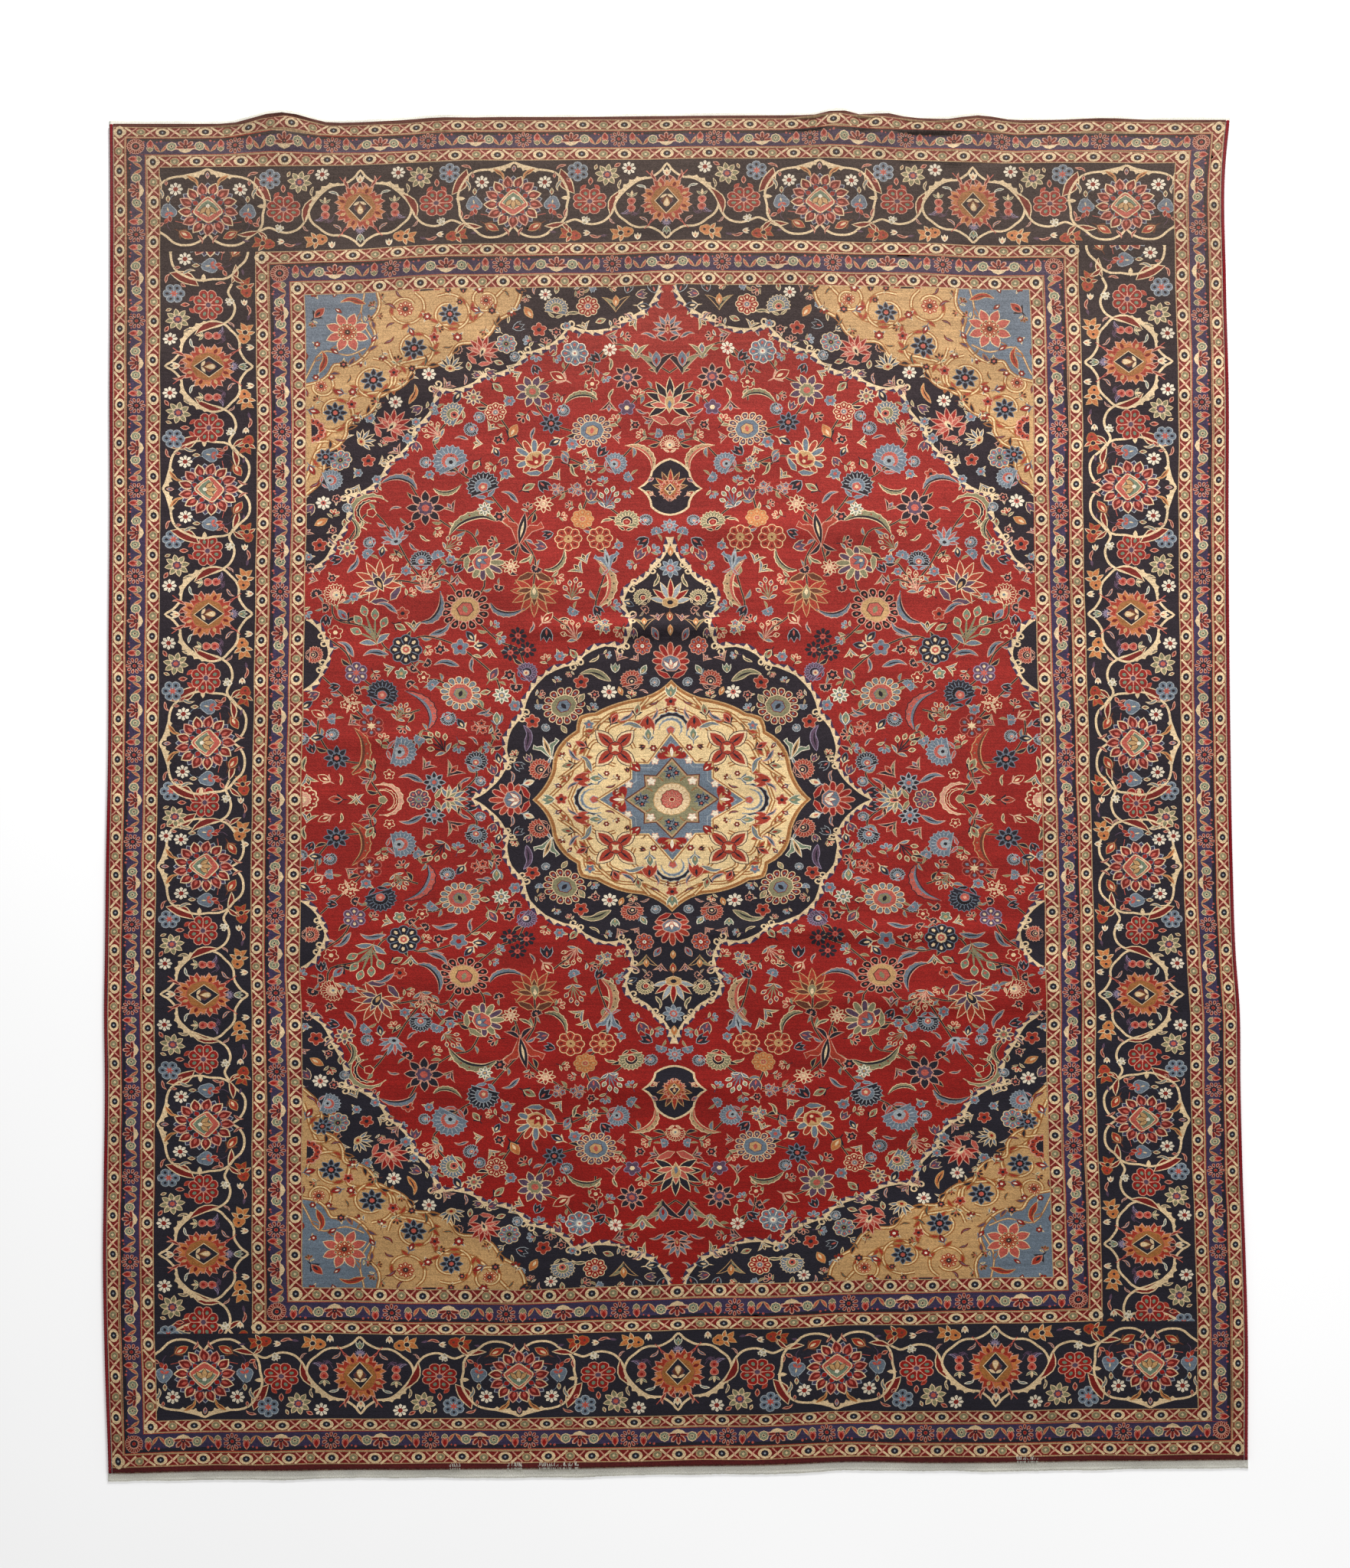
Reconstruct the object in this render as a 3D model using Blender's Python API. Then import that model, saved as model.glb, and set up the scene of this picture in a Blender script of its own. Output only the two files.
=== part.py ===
"""A hand-knotted medallion carpet of about 3.0 by 4.15 m, spread out on a floor.

The pile is one thin sheet.  A wool cord is overcast along each long side (the selvedge),
and a narrow flat-woven cotton band closes each short end.  The carpet is described flat,
by u across it and v along it, and lie() gives the place where that point lies: the sides
wander a little, the ends are bowed, the far end is thrown into small buckles and two soft
folds cross the middle.  Units are metres, +Z is up and +Y runs towards the buckled end.
"""
import math
from collections import namedtuple

import bmesh
import bpy
import numpy as np
from mathutils import Vector
from mathutils.geometry import delaunay_2d_cdt

# --- Driving sizes ------------------------------------------------------------------
HALF_WIDTH = 1.500           # centre line to the outer face of a selvedge
HALF_LENGTH = 2.035          # centre line to the end of the pile
PILE_THICKNESS = 0.011
SELVEDGE_WIDTH = 0.010
SELVEDGE_HEIGHT = 0.010
KILIM_THICKNESS = 0.003
KILIM_WIDTH_TOP = 0.014
KILIM_WIDTH_BOTTOM = 0.025
KILIM_RAGGED_TOP = 0.001     # how much the cut edge of an end band wavers
KILIM_RAGGED_BOTTOM = 0.003
GAP = 0.0003                 # between neighbouring pieces

# --- Where the drawn lines lie that the drift tables follow --------------------------
OUTER_U, INNER_U = 1.429, 1.050    # middle of the outer and of the inner guard stripe
OUTER_V, INNER_V = 1.964, 1.584
DRIFT_FADE_V = 0.700               # the bow of the ends has died away here
MM = 0.001

# How the weaving is let out along the length: v as drawn, y as it lies
LengthRow = namedtuple("LengthRow", "v y")
LENGTH_ROWS = (
    LengthRow(-2.035, -2.000),
    LengthRow(-1.964, -1.915),
    LengthRow(-1.584, -1.532),
    LengthRow(-1.517, -1.460),
    LengthRow(0.000, 0.000),
    LengthRow(1.517, 1.573),
    LengthRow(1.584, 1.645),
    LengthRow(1.964, 2.026),
    LengthRow(2.035, 2.096),
)

# Sideways drift of four lengthwise lines, in mm, +X positive
SideRow = namedtuple("SideRow", "v outer_left inner_left inner_right outer_right")
SIDE_ROWS = (
    SideRow(-2.035, 20, 16, 24, 19),
    SideRow(-1.700, 7, 12, 25, 22),
    SideRow(-1.460, 1, 9, 25, 18),
    SideRow(-1.200, 1, 8, 19, 12),
    SideRow(-0.900, 2, 8, 12, 8),
    SideRow(-0.640, -2, 3, 13, 7),
    SideRow(-0.500, -1, -1, 11, -1),
    SideRow(-0.200, 0, 0, 8, -8),
    SideRow(0.150, 3, 2, 1, -11),
    SideRow(0.500, 2, 7, -9, -12),
    SideRow(0.860, 2, 10, -14, -11),
    SideRow(1.200, -1, 9, -15, -8),
    SideRow(1.540, -2, 3, -23, -13),
    SideRow(1.900, -5, 2, -24, -12),
    SideRow(2.035, -7, 2, -24, 0),
)

# Lengthwise drift of four crosswise lines, in mm, +Y positive
EndRow = namedtuple("EndRow", "u top_outer top_inner bottom_inner bottom_outer")
END_ROWS = (
    EndRow(-1.450, -24, -36, -8, -20),
    EndRow(-1.200, -24, -36, -8, -13),
    EndRow(-1.000, -22, -34, -9, -12),
    EndRow(-0.850, -20, -28, -12, -9),
    EndRow(-0.700, -12, -16, -14, -9),
    EndRow(-0.500, -4, -9, -18, -7),
    EndRow(-0.250, -3, -8, -11, -5),
    EndRow(0.000, 0, 1, 0, 1),
    EndRow(0.250, 2, 2, 4, 5),
    EndRow(0.450, 2, -2, 13, 14),
    EndRow(0.650, -5, -6, 18, 11),
    EndRow(0.850, -13, -14, 21, 12),
    EndRow(1.050, -12, -15, 27, 16),
    EndRow(1.300, -12, -15, 28, 18),
    EndRow(1.450, -12, -15, 28, 20),
)

# Buckles that lift the far end off the floor, in mm: rise is up, push is outwards
BUCKLE_REACH = 0.160
Buckle = namedtuple("Buckle", "u half_width rise push")
BUCKLES = (
    Buckle(-1.050, 0.150, 30, 17),
    Buckle(-0.620, 0.110, 5, 1),
    Buckle(0.468, 0.085, 16, 8),
    Buckle(0.592, 0.080, 13, 5),
    Buckle(0.850, 0.105, 14, 7),
    Buckle(1.180, 0.130, 6, 2),
)

# Soft folds that cross the carpet, in mm; each fades out at half_span from its middle u
Fold = namedtuple("Fold", "v half_width u half_span rise")
FOLDS = (
    Fold(0.640, 0.260, -0.050, 1.450, 9),
    Fold(-0.560, 0.210, 0.450, 1.300, 7),
)

# --- How finely the solids are divided ------------------------------------------------
FAR_END_STEPS = (0.0, 0.025, 0.055, 0.090, 0.130, 0.175)   # rows in from the far end
FAR_END_COLUMNS = 90
NEAR_END_COLUMNS = 44
FIELD_COLUMNS = 24
FIELD_ROWS = 38
OUTLINE_STEPS = 200          # for the box round the whole carpet

# Cross-section of a selvedge: share of its width from the pile outwards, share of height
SELVEDGE_PROFILE = (
    (0.10, 0.00), (0.90, 0.00), (1.00, 0.22), (1.00, 0.68),
    (0.80, 0.94), (0.40, 1.00), (0.00, 0.85), (0.00, 0.15),
)

# name: (red, green, blue), roughness
FINISHES = {
    "wool_pile": ((0.24, 0.028, 0.030), 0.92),
    "overcast_wool": ((0.17, 0.012, 0.018), 0.90),
    "cotton_web": ((0.68, 0.66, 0.56), 0.95),
}


def curve(x, xs, ys):
    """Smooth curve through the points (xs, ys), level with its first and last beyond them."""
    xs, ys = np.asarray(xs, float), np.asarray(ys, float)
    slopes = np.gradient(ys, xs)
    x = np.clip(x, xs[0], xs[-1])
    i = np.clip(np.searchsorted(xs, x, side="right") - 1, 0, len(xs) - 2)
    span = xs[i + 1] - xs[i]
    t = (x - xs[i]) / span
    start = (2 * t**3 - 3 * t**2 + 1) * ys[i] + (t**3 - 2 * t**2 + t) * span * slopes[i]
    end = (3 * t**2 - 2 * t**3) * ys[i + 1] + (t**3 - t**2) * span * slopes[i + 1]
    return start + end


def column(rows, name):
    """One named column of a table."""
    return [getattr(row, name) for row in rows]


def hump(distance, half_width):
    """A rounded hump: 1 at distance 0, and 0 from half_width on."""
    share = np.clip(np.abs(distance) / half_width, 0.0, 1.0)
    return np.cos(share * math.pi / 2) ** 2


def length_as_it_lies(v):
    """y of a crosswise line, with the end bands going on at the last row's stretch."""
    vs, ys = column(LENGTH_ROWS, "v"), column(LENGTH_ROWS, "y")
    beyond = np.maximum(v - vs[-1], 0.0) + np.minimum(v - vs[0], 0.0)
    return np.interp(v, vs, ys) + beyond


def side_drift(u, v):
    """Sideways drift of the point (u, v)."""
    names = ("outer_left", "inner_left", "inner_right", "outer_right")
    lines = [curve(v, column(SIDE_ROWS, "v"), column(SIDE_ROWS, name)) for name in names]
    share_left = np.clip((u + OUTER_U) / (OUTER_U - INNER_U), 0.0, 1.0)
    share_mid = np.clip((u + INNER_U) / (2 * INNER_U), 0.0, 1.0)
    share_right = np.clip((u - INNER_U) / (OUTER_U - INNER_U), 0.0, 1.0)
    drift = lines[0] + share_left * (lines[1] - lines[0])
    drift = drift + share_mid * (lines[2] - lines[1])
    return (drift + share_right * (lines[3] - lines[2])) * MM


def end_drift(u, v):
    """Lengthwise drift of the point (u, v)."""
    total = 0.0
    for end, outer, inner in ((1, "top_outer", "top_inner"), (-1, "bottom_outer", "bottom_inner")):
        us = column(END_ROWS, "u")
        at_outer, at_inner = (curve(u, us, column(END_ROWS, name)) for name in (outer, inner))
        share_in = np.clip((end * v - DRIFT_FADE_V) / (INNER_V - DRIFT_FADE_V), 0.0, 1.0)
        share_out = np.clip((end * v - INNER_V) / (OUTER_V - INNER_V), 0.0, 1.0)
        total = total + share_in * (at_inner + share_out * (at_outer - at_inner))
    return total * MM


def lie(u, v):
    """Where the point (u, v) of the flat carpet lies: x, y and the underside's height."""
    u, v = np.asarray(u, float), np.asarray(v, float)
    x = u + side_drift(u, v)
    y = length_as_it_lies(v) + end_drift(u, v)
    rise = np.zeros(np.broadcast(u, v).shape)
    from_end = hump(np.maximum(HALF_LENGTH - v, 0.0), BUCKLE_REACH)
    for buckle in BUCKLES:
        share = hump(u - buckle.u, buckle.half_width) * from_end
        rise = rise + buckle.rise * MM * share
        y = y + buckle.push * MM * share
    for fold in FOLDS:
        share = hump(v - fold.v, fold.half_width) * hump(u - fold.u, fold.half_span)
        rise = rise + fold.rise * MM * share
    return x, y, rise


def kilim_edge(end, u):
    """v of the cut edge of an end band; end is 1 at the far end and -1 at the near one."""
    width = KILIM_WIDTH_TOP if end > 0 else KILIM_WIDTH_BOTTOM
    ragged = KILIM_RAGGED_TOP if end > 0 else KILIM_RAGGED_BOTTOM
    waver = np.sin(u * 9.1 + end) * 0.5 + np.sin(u * 23.7 - end) * 0.3 + np.sin(u * 41.3) * 0.2
    return end * (HALF_LENGTH + width + ragged * waver)


def middle_of_outline():
    """Middle of the box round the whole carpet: it becomes the origin."""
    across = np.linspace(-HALF_WIDTH, HALF_WIDTH, OUTLINE_STEPS + 1)
    along = np.linspace(-HALF_LENGTH, HALF_LENGTH, OUTLINE_STEPS + 1)
    x, y = [], []
    for end in (-1, 1):
        for u, v in ((across, kilim_edge(end, across)), (np.full_like(along, end * HALF_WIDTH), along)):
            px, py, _ = lie(u, v)
            x.extend(px)
            y.extend(py)
    return (min(x) + max(x)) / 2, (min(y) + max(y)) / 2


def place(u, v, height, origin):
    """Points of the carpet as it lies, height above its underside."""
    x, y, rise = lie(u, v)
    return [Vector(p) for p in zip(x - origin[0], y - origin[1], rise + height)]


def finish(name):
    """The material of one kind of yarn."""
    colour, roughness = FINISHES[name]
    material = bpy.data.materials.new(name)
    material.use_nodes = True
    shader = material.node_tree.nodes["Principled BSDF"]
    shader.inputs["Base Color"].default_value = (*colour, 1.0)
    shader.inputs["Roughness"].default_value = roughness
    shader.inputs["Metallic"].default_value = 0.0
    return material


def add_object(name, points, faces, material):
    """A named object of one closed mesh, its faces pointing out."""
    mesh = bpy.data.meshes.new(name)
    mesh.from_pydata(points, [], faces)
    work = bmesh.new()
    work.from_mesh(mesh)
    bmesh.ops.recalc_face_normals(work, faces=work.faces)
    if work.calc_volume(signed=True) < 0:
        bmesh.ops.reverse_faces(work, faces=work.faces)
    work.to_mesh(mesh)
    work.free()
    mesh.materials.append(material)
    obj = bpy.data.objects.new(name, mesh)
    bpy.context.scene.collection.objects.link(obj)
    return obj


def pile_rows():
    """Crosswise rows of points for the pile: v and how many columns each is cut into."""
    last = HALF_LENGTH - GAP
    rows = [(last - step, FAR_END_COLUMNS) for step in FAR_END_STEPS]
    low, high = -last, last - FAR_END_STEPS[-1]
    inner = np.linspace(high, low, FIELD_ROWS + 1)[1:-1]
    rows += [(v, FIELD_COLUMNS) for v in inner]
    rows.append((low, NEAR_END_COLUMNS))
    return rows


def build_pile(origin):
    """The knotted pile: one sheet of even thickness that follows the buckles and folds."""
    half = HALF_WIDTH - SELVEDGE_WIDTH - GAP
    flat, rows = [], []
    for v, columns in pile_rows():
        rows.append(range(len(flat), len(flat) + columns + 1))
        flat += [Vector((u, v)) for u in np.linspace(-half, half, columns + 1)]
    between = rows[1:-1]
    rim = [*rows[0], *(row[-1] for row in between), *reversed(rows[-1])]
    rim += [row[0] for row in reversed(between)]
    edges = list(zip(rim, rim[1:] + rim[:1]))
    flat, _, triangles, *_ = delaunay_2d_cdt(flat, edges, [], 1, 1e-6)
    u = np.array([p.x for p in flat])
    v = np.array([p.y for p in flat])
    count = len(flat)
    points = place(u, v, PILE_THICKNESS, origin) + place(u, v, 0.0, origin)
    faces = [tuple(t) for t in triangles]
    faces += [tuple(i + count for i in reversed(t)) for t in triangles]
    faces += [(b, a, a + count, b + count) for a, b in edges]
    return add_object("rug_pile", points, faces, finish("wool_pile"))


def build_selvedge(side, name, origin, material):
    """The overcast cord along one long side: its profile carried along the edge."""
    inner = HALF_WIDTH - SELVEDGE_WIDTH
    stations = [v for v, _ in pile_rows()]
    points, ring = [], len(SELVEDGE_PROFILE)
    for v in stations:
        for width_share, height_share in SELVEDGE_PROFILE:
            u = side * (inner + SELVEDGE_WIDTH * width_share)
            points += place(np.array([u]), np.array([v]), SELVEDGE_HEIGHT * height_share, origin)
    faces = [tuple(range(ring)), tuple(len(points) - 1 - i for i in range(ring))]
    for station in range(len(stations) - 1):
        for i in range(ring):
            a, b = station * ring + i, station * ring + (i + 1) % ring
            faces.append((a, b, b + ring, a + ring))
    return add_object(name, points, faces, material)


def build_kilim(end, name, origin, material):
    """The flat-woven band at one short end."""
    pile_half = HALF_WIDTH - SELVEDGE_WIDTH - GAP
    columns = FAR_END_COLUMNS if end > 0 else NEAR_END_COLUMNS
    across = np.linspace(-pile_half, pile_half, columns + 1)
    across = np.concatenate([[-HALF_WIDTH], across, [HALF_WIDTH]])
    inner = np.full_like(across, end * (HALF_LENGTH + GAP))
    outer = kilim_edge(end, across)
    points = []
    for v in (inner, outer):
        for height in (0.0, KILIM_THICKNESS):
            points += place(across, v, height, origin)
    row = len(across)
    low_in, high_in, low_out, high_out = (i * row for i in range(4))
    faces = [(low_in, low_out, high_out, high_in)]
    faces.append(tuple(i + row - 1 for i in (high_in, high_out, low_out, low_in)))
    for i in range(row - 1):
        for a, b in ((low_in, low_out), (high_in, high_out), (low_in, high_in), (low_out, high_out)):
            faces.append((a + i, a + i + 1, b + i + 1, b + i))
    return add_object(name, points, faces, material)


def main():
    for obj in list(bpy.data.objects):
        bpy.data.objects.remove(obj)
    origin = middle_of_outline()
    build_pile(origin)
    cord = finish("overcast_wool")
    build_selvedge(-1, "selvedge_left", origin, cord)
    build_selvedge(1, "selvedge_right", origin, cord)
    web = finish("cotton_web")
    build_kilim(1, "kilim_end_top", origin, web)
    build_kilim(-1, "kilim_end_bottom", origin, web)


main()
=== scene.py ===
"""Looks of a hand-knotted medallion carpet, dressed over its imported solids.

The pattern is drawn flat, in millimetres, from the carpet's middle: u across it and v along
it.  Small functions lay down petals, leaves, rosettes and palmettes as flat shapes, later
ones over earlier ones, and tables place them in one quarter, which is then mirrored.
Each strip of the pile is cut along every colour line of the drawing and laid on the carpet
as it lies, so the pattern is in the mesh and its yarns are in a colour attribute.
"""
import math
from collections import namedtuple

import bpy
import numpy as np
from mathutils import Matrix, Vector
from mathutils.bvhtree import BVHTree
from mathutils.geometry import delaunay_2d_cdt


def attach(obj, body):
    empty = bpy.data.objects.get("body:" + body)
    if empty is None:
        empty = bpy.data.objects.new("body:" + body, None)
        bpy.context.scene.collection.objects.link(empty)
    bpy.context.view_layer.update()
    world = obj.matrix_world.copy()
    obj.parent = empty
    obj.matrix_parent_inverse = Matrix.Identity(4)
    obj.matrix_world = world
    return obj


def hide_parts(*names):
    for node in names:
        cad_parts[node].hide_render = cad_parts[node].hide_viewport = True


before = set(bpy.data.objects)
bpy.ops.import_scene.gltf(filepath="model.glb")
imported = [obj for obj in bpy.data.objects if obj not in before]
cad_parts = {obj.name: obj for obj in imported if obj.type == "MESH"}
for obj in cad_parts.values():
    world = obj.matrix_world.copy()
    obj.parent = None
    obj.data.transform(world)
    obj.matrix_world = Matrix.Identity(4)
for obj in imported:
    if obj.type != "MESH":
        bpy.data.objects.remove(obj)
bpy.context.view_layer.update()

MM = 0.001

# --- Sizes shared with the solids (metres) ---------------------------------------------
HALF_WIDTH = 1.500
HALF_LENGTH = 2.035
PILE_TOP = 0.011
FOUNDATION_TOP = 0.0062
SELVEDGE_WIDTH = 0.010
SELVEDGE_HEIGHT = 0.010
KILIM_THICKNESS = 0.003
KILIM_WIDTH_TOP = 0.014
KILIM_WIDTH_BOTTOM = 0.025
KILIM_RAGGED_TOP = 0.001
KILIM_RAGGED_BOTTOM = 0.003
GAP = 0.0003
OUTLINE_STEPS = 200

OUTER_U, INNER_U = 1.429, 1.050
OUTER_V, INNER_V = 1.964, 1.584
DRIFT_FADE_V = 0.700

LengthRow = namedtuple("LengthRow", "v y")
LENGTH_ROWS = (
    LengthRow(-2.035, -2.000),
    LengthRow(-1.964, -1.915),
    LengthRow(-1.584, -1.532),
    LengthRow(-1.517, -1.460),
    LengthRow(0.000, 0.000),
    LengthRow(1.517, 1.573),
    LengthRow(1.584, 1.645),
    LengthRow(1.964, 2.026),
    LengthRow(2.035, 2.096),
)
SideRow = namedtuple("SideRow", "v outer_left inner_left inner_right outer_right")
SIDE_ROWS = (
    SideRow(-2.035, 20, 16, 24, 19),
    SideRow(-1.700, 7, 12, 25, 22),
    SideRow(-1.460, 1, 9, 25, 18),
    SideRow(-1.200, 1, 8, 19, 12),
    SideRow(-0.900, 2, 8, 12, 8),
    SideRow(-0.640, -2, 3, 13, 7),
    SideRow(-0.500, -1, -1, 11, -1),
    SideRow(-0.200, 0, 0, 8, -8),
    SideRow(0.150, 3, 2, 1, -11),
    SideRow(0.500, 2, 7, -9, -12),
    SideRow(0.860, 2, 10, -14, -11),
    SideRow(1.200, -1, 9, -15, -8),
    SideRow(1.540, -2, 3, -23, -13),
    SideRow(1.900, -5, 2, -24, -12),
    SideRow(2.035, -7, 2, -24, 0),
)
EndRow = namedtuple("EndRow", "u top_outer top_inner bottom_inner bottom_outer")
END_ROWS = (
    EndRow(-1.450, -24, -36, -8, -20),
    EndRow(-1.200, -24, -36, -8, -13),
    EndRow(-1.000, -22, -34, -9, -12),
    EndRow(-0.850, -20, -28, -12, -9),
    EndRow(-0.700, -12, -16, -14, -9),
    EndRow(-0.500, -4, -9, -18, -7),
    EndRow(-0.250, -3, -8, -11, -5),
    EndRow(0.000, 0, 1, 0, 1),
    EndRow(0.250, 2, 2, 4, 5),
    EndRow(0.450, 2, -2, 13, 14),
    EndRow(0.650, -5, -6, 18, 11),
    EndRow(0.850, -13, -14, 21, 12),
    EndRow(1.050, -12, -15, 27, 16),
    EndRow(1.300, -12, -15, 28, 18),
    EndRow(1.450, -12, -15, 28, 20),
)
BUCKLE_REACH = 0.160
Buckle = namedtuple("Buckle", "u half_width rise push")
BUCKLES = (
    Buckle(-1.050, 0.150, 30, 17),
    Buckle(-0.620, 0.110, 5, 1),
    Buckle(0.468, 0.085, 16, 8),
    Buckle(0.592, 0.080, 13, 5),
    Buckle(0.850, 0.105, 14, 7),
    Buckle(1.180, 0.130, 6, 2),
)
Fold = namedtuple("Fold", "v half_width u half_span rise")
FOLDS = (
    Fold(0.640, 0.260, -0.050, 1.450, 9),
    Fold(-0.560, 0.210, 0.450, 1.300, 7),
)
# Smaller creases, in the looks alone.
CREASES = (
    Fold(0.500, 0.042, -0.050, 0.560, 15),
    Fold(0.790, 0.060, 0.250, 0.700, 10),
    Fold(-0.420, 0.050, 0.400, 0.900, 12),
    Fold(-0.640, 0.060, 0.650, 0.600, 11),
    Fold(0.180, 0.050, -0.700, 0.450, 9),
    Fold(-0.900, 0.060, -0.100, 0.700, 9),
)


# --- The carpet as it lies ----------------------------------------------------------------
def curve(x, xs, ys):
    """Smooth curve through the points (xs, ys), level with its first and last beyond them."""
    xs, ys = np.asarray(xs, float), np.asarray(ys, float)
    slopes = np.gradient(ys, xs)
    x = np.clip(x, xs[0], xs[-1])
    i = np.clip(np.searchsorted(xs, x, side="right") - 1, 0, len(xs) - 2)
    span = xs[i + 1] - xs[i]
    t = (x - xs[i]) / span
    start = (2 * t**3 - 3 * t**2 + 1) * ys[i] + (t**3 - 2 * t**2 + t) * span * slopes[i]
    end = (3 * t**2 - 2 * t**3) * ys[i + 1] + (t**3 - t**2) * span * slopes[i + 1]
    return start + end


def column(rows, name):
    """One named column of a table."""
    return [getattr(row, name) for row in rows]


def hump(distance, half_width):
    """A rounded hump: 1 at distance 0, and 0 from half_width on."""
    share = np.clip(np.abs(distance) / half_width, 0.0, 1.0)
    return np.cos(share * math.pi / 2) ** 2


def length_as_it_lies(v):
    """y of a crosswise line, with the end bands going on at the last row's stretch."""
    vs, ys = column(LENGTH_ROWS, "v"), column(LENGTH_ROWS, "y")
    beyond = np.maximum(v - vs[-1], 0.0) + np.minimum(v - vs[0], 0.0)
    return np.interp(v, vs, ys) + beyond


def side_drift(u, v):
    """Sideways drift of the point (u, v)."""
    names = ("outer_left", "inner_left", "inner_right", "outer_right")
    lines = [curve(v, column(SIDE_ROWS, "v"), column(SIDE_ROWS, name)) for name in names]
    share_left = np.clip((u + OUTER_U) / (OUTER_U - INNER_U), 0.0, 1.0)
    share_mid = np.clip((u + INNER_U) / (2 * INNER_U), 0.0, 1.0)
    share_right = np.clip((u - INNER_U) / (OUTER_U - INNER_U), 0.0, 1.0)
    drift = lines[0] + share_left * (lines[1] - lines[0])
    drift = drift + share_mid * (lines[2] - lines[1])
    return (drift + share_right * (lines[3] - lines[2])) * MM


def end_drift(u, v):
    """Lengthwise drift of the point (u, v)."""
    total = 0.0
    for end, outer, inner in ((1, "top_outer", "top_inner"), (-1, "bottom_outer", "bottom_inner")):
        us = column(END_ROWS, "u")
        at_outer, at_inner = (curve(u, us, column(END_ROWS, name)) for name in (outer, inner))
        share_in = np.clip((end * v - DRIFT_FADE_V) / (INNER_V - DRIFT_FADE_V), 0.0, 1.0)
        share_out = np.clip((end * v - INNER_V) / (OUTER_V - INNER_V), 0.0, 1.0)
        total = total + share_in * (at_inner + share_out * (at_outer - at_inner))
    return total * MM


def lie(u, v):
    """Where the point (u, v) of the flat carpet lies: x, y and the underside's height."""
    u, v = np.asarray(u, float), np.asarray(v, float)
    x = u + side_drift(u, v)
    y = length_as_it_lies(v) + end_drift(u, v)
    rise = np.zeros(np.broadcast(u, v).shape)
    from_end = hump(np.maximum(HALF_LENGTH - v, 0.0), BUCKLE_REACH)
    for buckle in BUCKLES:
        share = hump(u - buckle.u, buckle.half_width) * from_end
        rise = rise + buckle.rise * MM * share
        y = y + buckle.push * MM * share
    for fold in FOLDS + CREASES:
        share = hump(v - fold.v, fold.half_width) * hump(u - fold.u, fold.half_span)
        rise = rise + fold.rise * MM * share
    return x, y, rise


def kilim_edge(end, u):
    """v of the cut edge of an end band; end is 1 at the far end and -1 at the near one."""
    width = KILIM_WIDTH_TOP if end > 0 else KILIM_WIDTH_BOTTOM
    ragged = KILIM_RAGGED_TOP if end > 0 else KILIM_RAGGED_BOTTOM
    waver = np.sin(u * 9.1 + end) * 0.5 + np.sin(u * 23.7 - end) * 0.3 + np.sin(u * 41.3) * 0.2
    return end * (HALF_LENGTH + width + ragged * waver)


def middle_of_outline():
    """Middle of the box round the whole carpet, which is the solids' origin."""
    across = np.linspace(-HALF_WIDTH, HALF_WIDTH, OUTLINE_STEPS + 1)
    along = np.linspace(-HALF_LENGTH, HALF_LENGTH, OUTLINE_STEPS + 1)
    x, y = [], []
    for end in (-1, 1):
        for u, v in ((across, kilim_edge(end, across)), (np.full_like(along, end * HALF_WIDTH), along)):
            px, py, _ = lie(u, v)
            x.extend(px)
            y.extend(py)
    return (min(x) + max(x)) / 2, (min(y) + max(y)) / 2


ORIGIN = middle_of_outline()


def place(u, v, height):
    """Points of the carpet as it lies, as an array of x, y, z; height is above its underside."""
    x, y, rise = lie(u, v)
    return np.stack([x - ORIGIN[0], y - ORIGIN[1], rise + height], axis=-1)


# --- Yarns ------------------------------------------------------------------------------------
YARNS = {
    "wine": "5A1F1F",
    "red": "96231F",
    "dark_red": "7A231F",
    "madder": "A53C2C",
    "coral": "BF5D50",
    "pink": "D69C84",
    "orange": "C77A48",
    "gold": "C89E6C",
    "brown": "66392A",
    "gold_brown": "A46B3C",
    "cream": "E8CBA0",
    "ivory": "F0E2C8",
    "tan": "B8966F",
    "buff": "ECCD98",
    "olive": "8A8464",
    "green": "77856E",
    "navy": "25222B",
    "black": "1B181D",
    "indigo": "3E3450",
    "slate": "6E7A86",
    "sky": "A3A9AB",
    "purple": "5C4659",
    "lilac": "95869C",
}


def linear(code):
    """An sRGB hex code as linear red, green, blue."""
    parts = np.array([int(code[i : i + 2], 16) for i in (0, 2, 4)]) / 255.0
    return np.where(parts <= 0.04045, parts / 12.92, ((parts + 0.055) / 1.055) ** 2.4)


YARN_COLOURS = {name: linear(code) for name, code in YARNS.items()}


# --- Drawing ------------------------------------------------------------------------------------
def lived_in(points):
    """The weaver's unevenness: every line wanders by a knot or so."""
    u, v = points[:, 0], points[:, 1]
    du = 1.1 * np.sin(v / 47 + u / 310) + 0.7 * np.sin(v / 19 + u / 83 + 1)
    dv = 1.2 * np.sin(u / 53 - v / 290) + 0.7 * np.sin(u / 21 - v / 97 + 2)
    return points + np.stack([du, dv], axis=1)


def inset(points, distance):
    """A closed outline drawn in by distance."""
    behind, ahead = np.roll(points, 1, axis=0), np.roll(points, -1, axis=0)
    area = (points[:, 0] * ahead[:, 1] - ahead[:, 0] * points[:, 1]).sum()
    along = ahead - behind
    along = along / np.maximum(np.linalg.norm(along, axis=1, keepdims=True), 1e-9)
    return points + np.stack([-along[:, 1], along[:, 0]], axis=1) * distance * np.sign(area)


THIN = 2.4


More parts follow.
